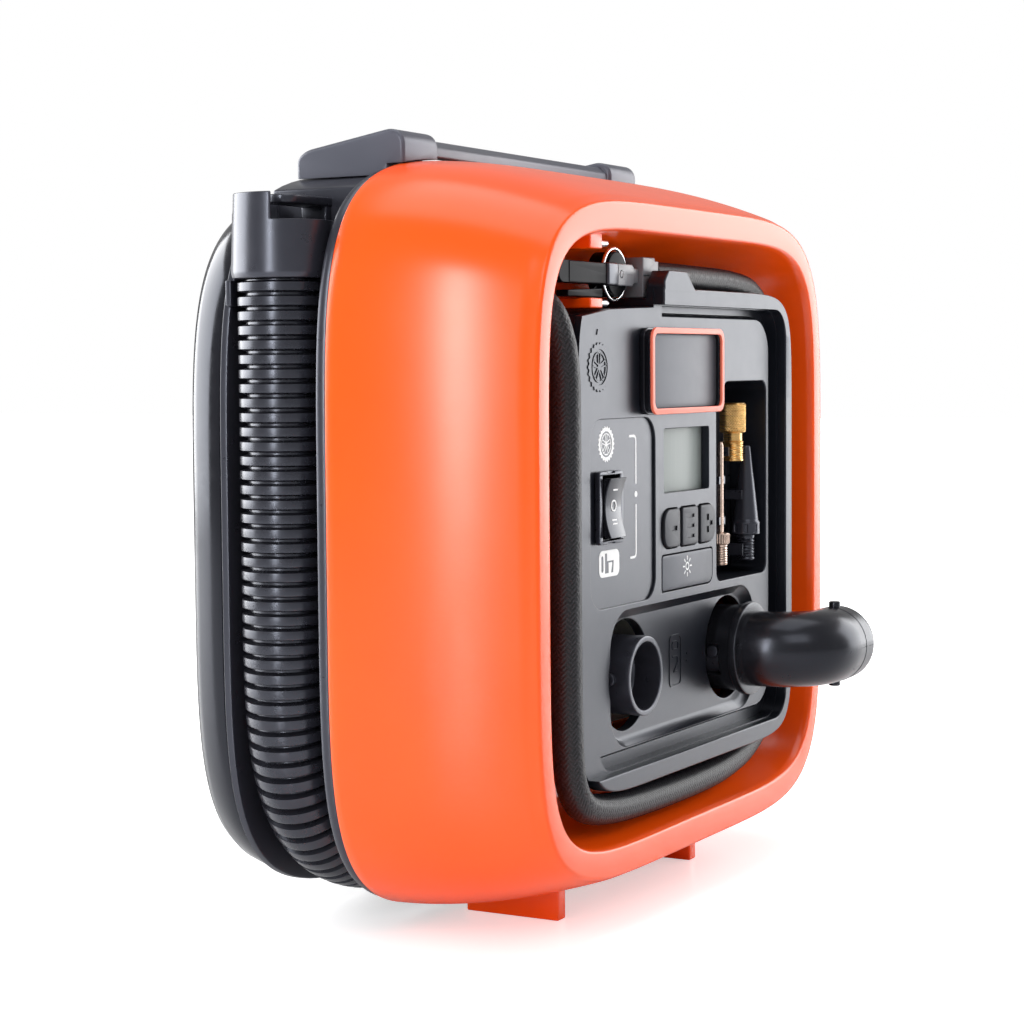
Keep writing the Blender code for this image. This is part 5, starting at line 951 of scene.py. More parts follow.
def panel_skin():
    skirt = superellipse(PANEL_SKIRT, (CENTRE_X, 0.0), 120)
    rim = superellipse(PANEL_RIM, (CENTRE_X, 0.0), 120)
    base = slab(skirt, (RIM_Y + 1.5, PANEL_BACK))
    joins = [slab(rim, (RIM_Y, FACE_Y + 2.5), edge=0.5), slab(TAB, (RIM_Y, RIM_Y + 6.2), edge=0.5)]
    far = TOP_LEFT[0][0]
    corner_x = TAB[0][0] - 0.4

    def above(growth):
        return [(x, z - growth) for x, z in TOP_LEFT] + [(TOP_LEFT[-1][0], 100.0), (far, 100.0)]

    def lowered(growth):
        outline = rounded_rectangle((far, RIM_INNER[0] + growth), (RIM_INNER[1] - growth, RIM_INNER[2]),
                                    (9.0 + growth, 9.0 + growth, 0.0, 0.0), 10)
        outline[-2:-2] = [(corner_x + growth, RIM_INNER[2]), (corner_x + growth, 99.0)]
        outline[-2] = (far, 99.0)
        return outline

    def island(growth):
        height = drawn_in(ISLAND[1:], -growth)
        return rounded_rectangle((far, ISLAND[0] + growth), height, (11.0, 11.0, 0.0, 0.0), 10)

    cuts = [lipped(above, FACE_Y, 60.0, 0.4), lipped(lowered, RIM_Y, FACE_Y, 0.45)]
    trough = rounded_rectangle((-62.0, RIM_INNER[0] - 0.3), drawn_in(RIM_INNER[1:], 0.3),
                               (9.0, 9.0, 2.0, 9.0), 10)
    kept = stack([(island(-0.55), -20.0), (island(-0.55), FACE_Y - 0.02), (island(-0.25), FACE_Y + 0.1),
                  (island(0.0), FACE_Y + 0.4), (island(0.35), FACE_Y + 0.9), (island(2.2), TROUGH_Y + 5.0)])
    keep_left = box((far, TAB[0][0] + 5.0), (-20.0, TROUGH_Y + 5.0), (ISLAND[2] - 4.0, 90.0))
    cuts.append(shaped(slab(trough, (FACE_Y - 2.0, TROUGH_Y)), cuts=[kept, keep_left]))
    cuts.append(lipped(grown_rectangle(PLATE_X, PLATE_Z, 7.0, 12), FACE_Y, PLATE_Y, 0.35))
    recess = grown_rectangle(RECESS_X, RECESS_Z, 12.0, 14)
    cuts.append(lipped(recess, FACE_Y, RECESS_Y, 0.5, slope=2.6))
    cuts.append(lipped(bay_outline, FACE_Y, BAY_BACK, 0.45))
    left, right, behind = CENTRE_X - PANEL_SKIRT[0] + 2.6, CENTRE_X + PANEL_SKIRT[0] - 2.6, PANEL_BACK + 3.0
    rooms = (
        ((left, BAY_X[0] - 1.8), (-19.7, 63.9), (2.0, 2.0, 9.0, 2.0), 6.6),
        ((left, right), (-69.2, -21.8), (14.0, 2.0, 2.0, 14.0), 10.2),
        ((BAY_X[0], right), (48.8, 68.8), (2.0, 14.0, 2.0, 2.0), 10.2),
    )
    for x, z, radii, front in rooms:
        cuts.append(slab(rounded_rectangle(x, z, radii, 3), (front, behind)))
    port_hole = [(0, -5.0), (17.45, -5.0), (17.45, 6.99), (17.16, 7.06), (17.02, 7.2),
                 (PORT_HOLE, 7.45), (PORT_HOLE, 20.0), (0, 20.0)]
    for side in (-1, 1):
        cuts.append(revolved((side * PORT_X, 0.0, PORT_Z), port_hole, "y", 96))
    pockets = (
        (KEY_X[0], KEY_Z, (1.6, 1.6, 4.6, 4.6), 6),
        (KEY_X[1], KEY_Z, 1.6, 6),
        (KEY_X[2], KEY_Z, (4.6, 4.6, 1.6, 1.6), 6),
        (LIGHT_X, LIGHT_Z, (3.4, 1.2, 1.2, 1.2), 4),
    )
    for x, z, radii, points in pockets:
        pocket = grown_rectangle(drawn_in(x, -POCKET), drawn_in(z, -POCKET), radii, points)
        cuts.append(lipped(pocket, FACE_Y, THROUGH_Y, 0.2))
    cuts.append(lipped(grown_rectangle(DISPLAY_X, DISPLAY_Z, 0.8, 4), FACE_Y, THROUGH_Y, 0.3))
    switch_x, switch_z = (drawn_in(span(middle, size / 2), 1.2) for middle, size in zip(SWITCH, BEZEL))
    cuts.append(slab(rounded_rectangle(switch_x, switch_z, 0.5, 2), (-5.0, THROUGH_Y)))
    body = base
    for join in joins:
        body = shaped(body, [join])
    for cut in cuts:
        body = shaped(body, cuts=[cut])
    panel = piece("panel_skin", body, "panel", replaces="front_panel", sharp=50)
    weighted = panel.modifiers.new("flat_faces", "WEIGHTED_NORMAL")
    weighted.keep_sharp = True
    weighted.weight = 80


# ---------------------------------------------------------------- printed and raised marks


def tread_ring(centre, outer, hole, tread, lobes, across):
    """A tyre seen from its side: lobed outside and a round hole."""
    return slab(circle(centre, outer - tread, 168, tread, lobes), across, holes=(circle(centre, hole, 64),))


def stroke(points, width, across):
    """A line of even width with round ends, as a thin plate."""
    left, right = [], []
    line = [Vector(p) for p in points]
    for index, here in enumerate(line):
        before = line[max(index - 1, 0)]
        after = line[min(index + 1, len(line) - 1)]
        ahead = (after - before).normalized()
        normal = Vector((-ahead.y, ahead.x))
        left.append(here + normal * width / 2)
        right.append(here - normal * width / 2)
    outline = list(left)
    for end, start, side in ((line[-1], left[-1], -1), (line[0], right[0], -1)):
        begin = start - end
        angle = math.atan2(begin.y, begin.x)
        for k in range(1, 6):
            turned = angle + side * math.pi * k / 6
            outline.append(end + Vector((math.cos(turned), math.sin(turned))) * width / 2)
        if end is line[-1]:
            outline += right[::-1]
    return slab([tuple(p) for p in outline], across)


def on_circle(centre, radius, angle):
    return (centre[0] + radius * math.cos(angle), centre[1] + radius * math.sin(angle))


def wheel_icon(centre, outer, across, line):
    parts = [tread_ring(centre, outer, outer * 0.72, outer * 0.05, 22, across),
             slab(circle(centre, outer * 0.62, 64), across, holes=(circle(centre, outer * 0.62 - line, 64),))]
    for k in range(5):
        angle = math.radians(90 + 72 * k)
        for offset in (-0.2, 0.2):
            near = on_circle(centre, outer * 0.16, angle + offset * 2.2)
            far = on_circle(centre, outer * 0.58, angle + offset)
            parts.append(stroke([near, far], line * 0.8, across))
    parts.append(slab(circle(centre, outer * 0.14, 24), across))
    return merged(*parts)


def printed_marks():
    print_y = (PLATE_Y - 0.07, PLATE_Y + 0.05)
    piece("print_wheel", wheel_icon((-54.8, 28.3), 5.3, print_y, 0.42), "white")
    bed = rounded_rectangle((-59.8, -46.5), (-10.9, -3.0), 2.1, 8)
    pillow = rounded_rectangle((-58.4, -57.0), (-9.4, -4.5), 0.69, 6)
    fold = [(-56.0, -9.8), (-53.6, -9.8), (-53.6, -6.7), (-51.3, -6.7), (-51.3, -7.3), (-52.0, -9.8),
            (-50.6, -9.8), (-50.2, -6.2), (-54.6, -6.2), (-54.6, -3.9), (-56.0, -3.9)]
    piece("print_bed", slab(bed, print_y, holes=(pillow, fold)), "white")
    upper = softened([(-39.3, 30.2), (-34.9, 30.2), (-34.9, 15.9)], 1.6, 6)
    lower = softened([(-34.9, 9.3), (-34.9, -6.4), (-38.6, -6.4)], 1.6, 6)
    piece("print_bracket", merged(stroke(upper, 0.72, print_y), stroke(lower, 0.72, print_y),
                                  slab(circle((-34.9, 12.6), 0.95, 24), print_y)), "white")
    raised = (FACE_Y - 0.28, FACE_Y + 0.2)
    piece("relief_wheel", wheel_icon((-60.9, 50.9), 7.3, raised, 0.5), "panel")
    piece("relief_arrow", slab([(-62.3, 60.3), (-61.1, 60.3), (-61.7, 62.0)], raised), "gloss")
    floor = (RECESS_Y - 0.28, RECESS_Y + 0.2)
    frame_outline = rounded_rectangle((-6.9, 2.1), (-50.2, -33.6), 2.2, 8)
    frame_hole = rounded_rectangle((-6.3, 1.5), (-49.6, -34.2), 1.7, 8)
    pillow_outline = rounded_rectangle((-4.9, 0.0), (-38.6, -35.6), 1.2, 6)
    pillow_hole = rounded_rectangle((-4.4, -0.5), (-38.1, -36.1), 0.8, 6)
    bed_mark = [slab(frame_outline, floor, holes=(frame_hole,)),
                slab(pillow_outline, floor, holes=(pillow_hole,)),
                stroke([(-4.2, -40.6), (-0.8, -40.6), (-0.8, -42.6), (-3.4, -45.4)], 0.5, floor),
                stroke([(-3.4, -45.4), (-1.0, -45.4)], 0.5, floor)]
    piece("relief_bed", merged(*bed_mark), "panel")
    piece("relief_dots", merged(*[slab(circle((6.5, z), 0.45, 20), floor) for z in (-40.6, -42.8)]), "panel")


def badge():
    x, z = (span(middle, size / 2) for middle, size in zip(BADGE_CENTRE, BADGE_SIZE))
    front = FACE_Y - 3.6
    rim = 1.8
    outer = rounded_rectangle(x, z, 3.4, 10)
    hole = rounded_rectangle(drawn_in(x, rim), drawn_in(z, rim), 2.2, 10)
    lower = slab(outer, (front + 1.9, FACE_Y - GAP + 0.25), edge=0.3)
    upper = slab(rounded_rectangle(drawn_in(x, 0.5), drawn_in(z, 0.5), 3.0, 10), (front + 0.1, front + 2.2),
                 edge=0.3, holes=(hole,))
    piece("badge_back", merged(lower, upper), "gloss", replaces="badge_plate")
    inner = rounded_rectangle(drawn_in(x, rim + 0.05), drawn_in(z, rim + 0.05), 2.2, 10)
    piece("badge_face", slab(inner, (front + 1.2, front + 2.0), edge=0.15), "badge")
    border = slab(outer, (front - 0.9, front), edge=0.22, holes=(hole,))
    piece("badge_border", border, "salmon", replaces="badge_frame")


def switch():
    surface = PLATE_Y
    x, z = (span(middle, size / 2) for middle, size in zip(SWITCH, BEZEL))
    bezel = slab(rounded_rectangle(x, z, 1.2, 6), (surface - GAP - 1.6, surface - GAP), edge=0.3)
    body = box(drawn_in(x, 1.5), (surface - 0.8, 22.0), drawn_in(z, 1.5))
    well = box(span(SWITCH[0], 5.8), (-5.0, 14.0), span(SWITCH[1], 9.7))
    notches = [box(span(SWITCH[0], 2.2), (surface - 2.4, surface - 1.2), span(edge, 0.5)) for edge in z]
    bezel = shaped(bezel, [body], [well, *notches], bevel=0.12)
    piece("switch_bezel", bezel, "black", replaces="switch_housing")
    tip, middle, axis_y = FACE_Y - 3.6, FACE_Y - 1.6, 7.0
    half = 8.8
    profile = [(axis_y + 3.0, SWITCH[1] - 3.5), (axis_y - 1.5, SWITCH[1] - half + 0.3)]
    steps = 28
    for k in range(steps + 1):
        share = k / steps
        bow = 1 - (2 * share - 1) ** 2
        profile.append((tip + (middle - tip) * bow, SWITCH[1] - half + 2 * half * share))
    profile += [(axis_y - 1.5, SWITCH[1] + half - 0.3), (axis_y + 3.0, SWITCH[1] + 3.5)]
    rocker = shaped(slab(profile, span(SWITCH[0], 5.3), "x"), bevel=0.3, segments=3, angle=40)
    piece("rocker_cap", rocker, "gloss", "rocker", replaces="rocker")

    def on_rocker(height):
        share = (height + half) / (2 * half)
        return tip + (middle - tip) * (1 - (2 * share - 1) ** 2)

    def bar(height, half_width):
        y = on_rocker(height)
        return box(span(SWITCH[0], 1.5), (y - 0.06, y + 0.25), span(SWITCH[1] + height, half_width))

    y, centre = on_rocker(0.6), (SWITCH[0], SWITCH[1] + 0.6)
    ring = slab(circle(centre, 1.75, 40), (y - 0.19, y + 0.2), holes=(circle(centre, 1.25, 40),))
    marks = [bar(5.3, 0.25), ring, bar(-3.6, 0.23), bar(-4.7, 0.23)]
    piece("rocker_marks", merged(*marks), "white", "rocker")


def display():
    window = rounded_rectangle(drawn_in(DISPLAY_X, -1.2), drawn_in(DISPLAY_Z, -1.2), 1.0, 4)
    piece("display_glass", slab(window, (6.9, 8.1), edge=0.1), "display", replaces="display_window")


# Sunk marks on the keys: left, right, bottom and top from the key's middle, and depth.
KEY_MARKS = {
    "key_minus": ((-1.0, 3.4, -0.75, 0.75, 0.45),),
    "key_unit": tuple((-2.8, 2.8, height - 0.55, height + 0.55, 0.4) for height in (-3.2, 0.0, 3.2)),
    "key_plus": ((-1.2, 0.6, -3.0, -0.9, 0.45), (-1.2, 0.6, 0.9, 3.0, 0.45), (1.0, 3.4, -0.7, 0.7, 0.45)),
}


def keys():
    front = FACE_Y - 0.9
    radii = ((1.2, 1.2, 4.2, 4.2), 1.2, (4.2, 4.2, 1.2, 1.2))
    for name, x, radius in zip(("key_minus", "key_unit", "key_plus"), KEY_X, radii):
        middle_x, middle_z = sum(x) / 2, sum(KEY_Z) / 2
        cap = slab(rounded_rectangle(x, KEY_Z, radius, 7), (front, 7.2), edge=0.45)
        base = box(drawn_in(x, -0.6), KEY_BASE_Y, drawn_in(KEY_Z, -0.6), 0.1)
        cuts = []
        for left, right, bottom, top, depth in KEY_MARKS[name]:
            cuts.append(box((middle_x + left, middle_x + right), (front - 1, front + depth),
                            (middle_z + bottom, middle_z + top)))
        piece(name + "_cap", shaped(cap, [base], cuts), "key", name, replaces=name)
    front = FACE_Y - 0.1
    light = slab(rounded_rectangle(LIGHT_X, LIGHT_Z, (3.0, 1.2, 1.2, 1.2), 5), (front, 7.2), edge=0.3)
    base = box((LIGHT_X[0] - 0.6, LIGHT_X[1] + 0.6), KEY_BASE_Y, (LIGHT_Z[0] - 0.4, LIGHT_Z[1] + 0.6), 0.1)
    piece("key_light_cap", shaped(light, [base]), "plate", "key_light", replaces="key_light")
    centre = (0.3, -12.0)
    across = (front - 0.06, front + 0.05)
    parts = [slab(circle(centre, 1.35, 40), across, holes=(circle(centre, 0.85, 40),))]
    for k in range(8):
        angle = math.radians(45 * k)
        ray = (on_circle(centre, 2.15, angle), on_circle(centre, 3.1, angle))
        parts.append(stroke(ray, 0.5, across))
    piece("print_sun", merged(*parts), "white", "key_light")


# ---------------------------------------------------------------- ports and elbow

SLEEVE = 14.1
ELBOW_FRONT = -22.2
ELBOW_BEND = 15.6
ELBOW_END = 66.5
TUBE = 12.4                     # radius of the elbow's tube
LUG_SETBACK = 6.2
LUG_RADIUS = 1.9


def lug(x, side):
    """A port's lug, which a cuff's or the elbow's bayonet slot takes."""
    start, reach = SPIGOT - 1.0, SPIGOT + 1.5
    place_at = (x + start if side > 0 else x - reach, LUG_SETBACK, PORT_Z)
    return rod(place_at, LUG_RADIUS, reach - start, "x", 0.3, 28)


def ports():
    back = FLOOR_Y + FLOOR_WALL
    for name, side in (("inflate_port", -1), ("deflate_port", 1)):
        x = side * PORT_X
        profile = [(SPIGOT_BORE, back), (16.5, back), (16.5, back - 2.2), (SPIGOT, back - 2.2), (SPIGOT, 0.0),
                   (SPIGOT_BORE + 0.2, 0.0), (SPIGOT_BORE + 0.2, 9.0), (SPIGOT_BORE - 0.9, 9.6)]
        made = revolved((x, 0.0, PORT_Z), softened(profile, 0.35, 3, closed=True), "y", 88, closed=True)
        joins = [lug(x, -1), lug(x, 1)]
        if side < 0:
            joins.append(box((x - SPIGOT - 1.5, x - SPIGOT + 1.0), (LUG_SETBACK, LUG_SETBACK + 2.8),
                             span(PORT_Z, 1.9), 0.3))
        piece(name + "_skin", shaped(made, joins), "black", replaces=name)
        radius, front, behind = SPIGOT_BORE - 0.2, back - 0.9, back - 0.2
        deep = revolved((x, 0.0, PORT_Z), [(0, front), (radius, front), (radius, behind), (0, behind)], "y", 48)
        vents = [box((x - 0.5 + 4 * k, x + 0.5 + 4 * k), (back - 3.0, back + 2.0), span(PORT_Z, 12))
                 for k in range(-2, 3)]
        piece(name + "_grille", shaped(deep, cuts=vents), "black")


def elbow():
    profile = [(0, -GAP), (SOCKET, -GAP), (SOCKET, 14.5), (SLEEVE, 14.5), (SLEEVE, 0.2), (15.3, 0.0),
               (15.3, -2.6), (0, -2.6)]
    lip = revolved((PORT_X, 0.0, PORT_Z), softened(profile, 0.45, 4), "y", 96)
    half = LUG_RADIUS + 0.4
    inner, reach, spread = SPIGOT - 0.2, SLEEVE + 3.0, math.degrees(half / SLEEVE)
    slots = []
    for side in (0.0, 180.0):
        free = side + 25.0
        slots.append(slab(sector(side - spread, free + spread, inner, reach, 12), span(LUG_SETBACK, half)))
        slots.append(slab(sector(free - spread, free + spread - 0.4, inner - 0.2, reach + 0.5, 6),
                          (LUG_SETBACK, 16.5)))
    sleeve = shaped(lip, cuts=slots, bevel=0.15, angle=55)
    path = [(PORT_X, -1.3, PORT_Z)]
    steps = 22
    for k in range(steps + 1):
        angle = math.pi / 2 * k / steps
        path.append((PORT_X + ELBOW_BEND * (1 - math.cos(angle)),
                     ELBOW_FRONT + ELBOW_BEND - ELBOW_BEND * math.sin(angle), PORT_Z))
    outer, at = resampled(path + [(ELBOW_END, ELBOW_FRONT, PORT_Z)], 1.0)
    radius = np.full(len(outer), TUBE)
    radius[-2:] = (12.3, 11.95)
    body = swept(outer, at, radius, 96)
    inner_path = [(PORT_X, 4.0, PORT_Z)] + path[1:] + [(ELBOW_END + 2.0, ELBOW_FRONT, PORT_Z)]
    inner_path, inner_at = resampled(inner_path, 1.5)
    bore = swept(inner_path, inner_at, SPIGOT_BORE - 0.6, 72)
    lugs = []
    length = 3.1
    for low in (PORT_Z - (SPIGOT - 1.0) - length, PORT_Z + (SPIGOT - 1.0)):
        lugs.append(rod((ELBOW_END - LUG_SETBACK + 1.0, ELBOW_FRONT, low), LUG_RADIUS, length, "z", 0.35, 32))
    seam = box((PORT_X - 20, ELBOW_END - 0.5), (ELBOW_FRONT - 13.2, ELBOW_FRONT - 12.28), span(PORT_Z, 0.12))
    solid = shaped(sleeve, [body, *lugs], [bore, seam])
    piece("elbow_skin", solid, "elbow", "elbow", replaces="elbow_adaptor", sharp=40)
    step = softened([(12.3, 0), (12.52, 0.1), (12.52, 0.5), (12.3, 0.6)], 0.05, 2, closed=True)
    step_ring = revolved((58.2, ELBOW_FRONT, PORT_Z), step, "x", 96, closed=True)
    piece("elbow_seam_ring", step_ring, "elbow", "elbow")


def sector(start, end, inner, outer, count):
    """A piece of a ring round the right port, between two angles in degrees."""
    angles = [math.radians(start + (end - start) * k / (count - 1)) for k in range(count)]
    centre = (PORT_X, PORT_Z)
    return [on_circle(centre, outer, a) for a in angles] + [on_circle(centre, inner, a) for a in angles[::-1]]


# ---------------------------------------------------------------- air hose and chuck

AIR_HOSE_ROUTE = (
    (-11.2, 12.0, 78.8), (4.0, 12.4, 78.9), (25.0, 12.6, 78.7), (53.0, 12.6, 78.0), (70.0, 12.5, 75.0),
    (80.8, 12.5, 64.0), (84.8, 12.5, 42.0), (85.6, 12.5, 0.0),
    (84.0, 12.0, -48.0), (77.8, 11.5, -67.5), (62.0, 10.5, -78.0), (38.0, 9.0, -82.0),
    (12.0, 8.4, -83.0), (-20.0, 8.0, -82.7), (-46.0, 7.4, -81.4), (-64.0, 6.7, -78.4),
    (-72.6, 6.3, -73.6), (-77.2, 6.0, -64.0), (-79.1, 5.7, -42.0), (-79.4, 5.6, 0.0),
    (-79.3, 5.6, 38.0), (-79.5, 5.8, 50.0), (-80.0, 7.0, 59.0), (-80.0, 10.2, 66.6), (-80.0, 15.8, 71.3),
    (-80.0, 19.5, 72.0),
)
AIR_HOSE_RADIUS = 4.7
BRAID_STRANDS = 20
BRAID_DEPTH = 0.42
CHUCK_FRONT = 8.0
CHUCK_BACK = 14.0
CHUCK_Z = 78.7
PADDLE_X = -76.4                # the paddle's far end
RING_RADIUS = 7.75              # the wire ring round the pin
RING_Y = 10.8
NOSE_X = -37.0
ARM_Y = (12.0, 12.8)            # the lever's arm, inside the chuck
LEVER_TURN = math.radians(3.0)  # the lever's whole travel
NECK_END = -22.8


def braid(angle, distance):
    """Two families of strands that cross, each over two and under two of the other."""
    pitch = 2 * math.pi * AIR_HOSE_RADIUS / BRAID_STRANDS
    across = angle / (2 * math.pi) * BRAID_STRANDS
    along = distance / pitch
    first, second = across + along, across - along
    over = ((np.floor(first) + np.floor(second)) // 2) % 2
    first_height = np.sin(np.pi * (first % 1.0)) ** 0.7 * np.where(over > 0.5, 1.0, 0.45)
    second_height = np.sin(np.pi * (second % 1.0)) ** 0.7 * np.where(over > 0.5, 0.45, 1.0)
    return BRAID_DEPTH * np.maximum(first_height, second_height)


def air_hose():
    points, distances = resampled(smooth_route(AIR_HOSE_ROUTE, 12), 0.4)
    evened(points, 3)
    hose = swept(points, distances, AIR_HOSE_RADIUS - BRAID_DEPTH, 96, braid)
    piece("air_hose_braid", hose, "weave", replaces="air_hose", sharp=180)
    front = FITTING[1] + GAP
    profile = [(0, 32.0), (2.0, 32.0), (2.0, 28.0), (FITTING_RADIUS, 27.6), (FITTING_RADIUS, front), (0, front)]
    fitting = revolved((FITTING[0], 0.0, FITTING[2]), softened(profile, 0.4), "y", 48)
    piece("fitting_nut", fitting, "black", replaces="air_fitting")


def chuck():
    low, high = CHUCK_Z - 3.3, CHUCK_Z + 3.1
    outline = rounded_rectangle((PADDLE_X, NOSE_X), (low, high), (0.0, 0.0, 3.1, 3.1), 10)
    paddle = slab(outline, (CHUCK_FRONT + 0.6, CHUCK_BACK - 0.6), edge=0.45)
    left_ring_slot, ring_slot = (box(span(NOSE_X + side * 7.35, 1.3), (9.95, CHUCK_BACK + 2.0),
                                     (low - 3.0, high + 3.0)) for side in (-1, 1))
    profile = [(0, 14.5), (3.9, 14.5), (3.9, 16.5), (6.8, 16.5), (6.8, 9.6), (0, 9.6)]
    nose = revolved((NOSE_X, 0.0, CHUCK_Z), softened(profile, 0.35, 3), "y", 64)
    pin_hole = rod((NOSE_X, 0.0, CHUCK_Z), 1.25, 30.0, edge=0, around=32)
    groove = box((-80.0, -69.95), (CHUCK_FRONT + 0.2, CHUCK_FRONT + 0.78), (low - 1, high + 1))
    arm_slot = slab([(-53.2, 71.0), (-47.5, 71.0), (NOSE_X + 2.6, CHUCK_Z - 2.5), (NOSE_X + 2.6, CHUCK_Z + 2.4),
                     (NOSE_X - 2.4, CHUCK_Z + 2.4), (-53.2, 76.6)], drawn_in(ARM_Y, -0.4))
    body = shaped(paddle, [nose], [left_ring_slot, ring_slot, pin_hole, groove, arm_slot])
    piece("chuck_paddle", body, "jet", replaces="chuck_body")
    collar_block = box((-46.0, -39.2), (CHUCK_FRONT, CHUCK_BACK), (low - 0.2, high + 0.2), 0.7, 4)
    collar = shaped(collar_block, cuts=[left_ring_slot, arm_slot])
    piece("chuck_collar", collar, "black")
    neck = box((-39.2, -29.2), (CHUCK_FRONT + 0.2, CHUCK_BACK - 0.2), (low - 0.1, high), 0.35)
    step = box((-29.6, NECK_END), (CHUCK_FRONT + 1.4, CHUCK_BACK - 1.4), (low + 1.0, high - 1.0), 0.3)
    middle_step = box((-31.0, -27.2), (CHUCK_FRONT + 0.8, CHUCK_BACK - 0.8), (low + 0.5, high - 0.5), 0.3)
    seam = box((-41.0, -20.0), (CHUCK_FRONT - 1, CHUCK_FRONT + 0.32), span(CHUCK_Z, 0.12))
    piece("chuck_neck", shaped(neck, [middle_step, step], [seam, ring_slot, arm_slot, pin_hole]), "grey")
    pin = rod((NOSE_X, CHUCK_FRONT + 0.1, CHUCK_Z), 1.05, CHUCK_BACK - CHUCK_FRONT - 0.1, "y", 0.25, 32)
    piece("chuck_pivot", pin, "grey", replaces="chuck_pin")
    points = []
    for k in range(73):
        x, z = on_circle((NOSE_X, CHUCK_Z), RING_RADIUS, math.radians(-165 + 330 * k / 72))
        points.append((x, RING_Y, z))
    ring_points, ring_at = resampled(points, 0.6)
    piece("chuck_ring_wire", swept(ring_points, ring_at, 0.55, 20), "chrome", replaces="chuck_ring")
    start, end = NECK_END + GAP, AIR_HOSE_ROUTE[0][0] - GAP
    ferrule = box((start, end), (CHUCK_FRONT, CHUCK_FRONT + 8.0), (CHUCK_Z - 6.7, CHUCK_Z + 5.7), 0.4)
    cuts = [box((end - 2.6, end + 5.0), (0.0, 30.0), (CHUCK_Z + bottom, CHUCK_Z + top))
            for bottom, top in ((-12.0, -0.2), (4.6, 12.0))]
    cuts.append(box((start - 1, end + 1), (CHUCK_FRONT - 1, CHUCK_FRONT + 0.15), span(CHUCK_Z, 0.12)))
    piece("ferrule_block", shaped(ferrule, cuts=cuts, bevel=0.2, angle=50), "grey", replaces="hose_ferrule")
    end_top = low - GAP - (NOSE_X + 71.0) * math.sin(LEVER_TURN)
    grip = softened([(-70.6, end_top - 1.9), (-48.0, 71.5), (-48.0, 74.2), (-70.4, end_top)], 0.9, 5, closed=True)
    grip_mesh = slab(grip, (CHUCK_FRONT + 1.0, CHUCK_BACK - 1.0), edge=0.35)
    arm = [(-52.5, 71.8), (-49.0, 71.8), (NOSE_X + 0.6, CHUCK_Z - 1.9), (NOSE_X + 1.9, CHUCK_Z),
           (NOSE_X, CHUCK_Z + 1.9), (NOSE_X - 1.7, CHUCK_Z + 0.9), (-49.4, 73.6), (-52.5, 73.6)]
    arm_mesh = slab(softened(arm, 0.8, 3, closed=True), ARM_Y, edge=0.15)
    piece("lever_grip", shaped(grip_mesh, [arm_mesh], [pin_hole]), "jet", "chuck_lever", replaces="chuck_lever")


# ---------------------------------------------------------------- accessories

ACCESSORY_Y = 9.2
NEEDLE_X, PRESTA_X, CONE_X = 38.5, 48.6, 59.6


def thread(top, bottom, pitch, depth):
    """Relief of a screw thread between two heights."""
    def cut_in(angle, along, _):
        turn = (along / pitch - angle / (2 * math.pi)) % 1.0
        inside = (along < top) & (along > bottom)
        return np.where(inside, -depth * np.abs(turn * 2 - 1), 0.0)
    return cut_in


def knurl(top, bottom, count, depth):
    """Relief of crossed knurling between two heights, on a radius near 4.4 mm."""
    def cut_in(angle, along, radii):
        across = angle / (2 * math.pi) * count
        rows = along * count / (2 * math.pi * 4.4)
        first = np.abs(((across + rows) % 1.0) * 2 - 1)
        second = np.abs(((across - rows) % 1.0) * 2 - 1)
        inside = (along < top) & (along > bottom)
        return np.where(inside, -depth * (1 - np.minimum(first, second) ** 0.6), 0.0)
    return cut_in


def filled(profile, step):
    """The same profile with points at most a step apart along it."""
    made = [profile[0]]
    for first, second in zip(profile, profile[1:]):
        parts = max(1, math.ceil(math.dist(first, second) / step))
        made += [between(first, second, k / parts) for k in range(1, parts + 1)]
    return made


def turned_piece(name, look, x, profile, step, around, relief, cuts=()):
    """An accessory turned round its upright axis, with relief, in its place in the bay."""
    made = revolved((x, ACCESSORY_Y, 0.0), filled(profile, step), "z", around, relief=relief)
    if cuts:
        made = shaped(made, cuts=cuts)
    body = name.rsplit("_", 1)[0]
    piece(name, made, look, body, replaces=body, sharp=50)


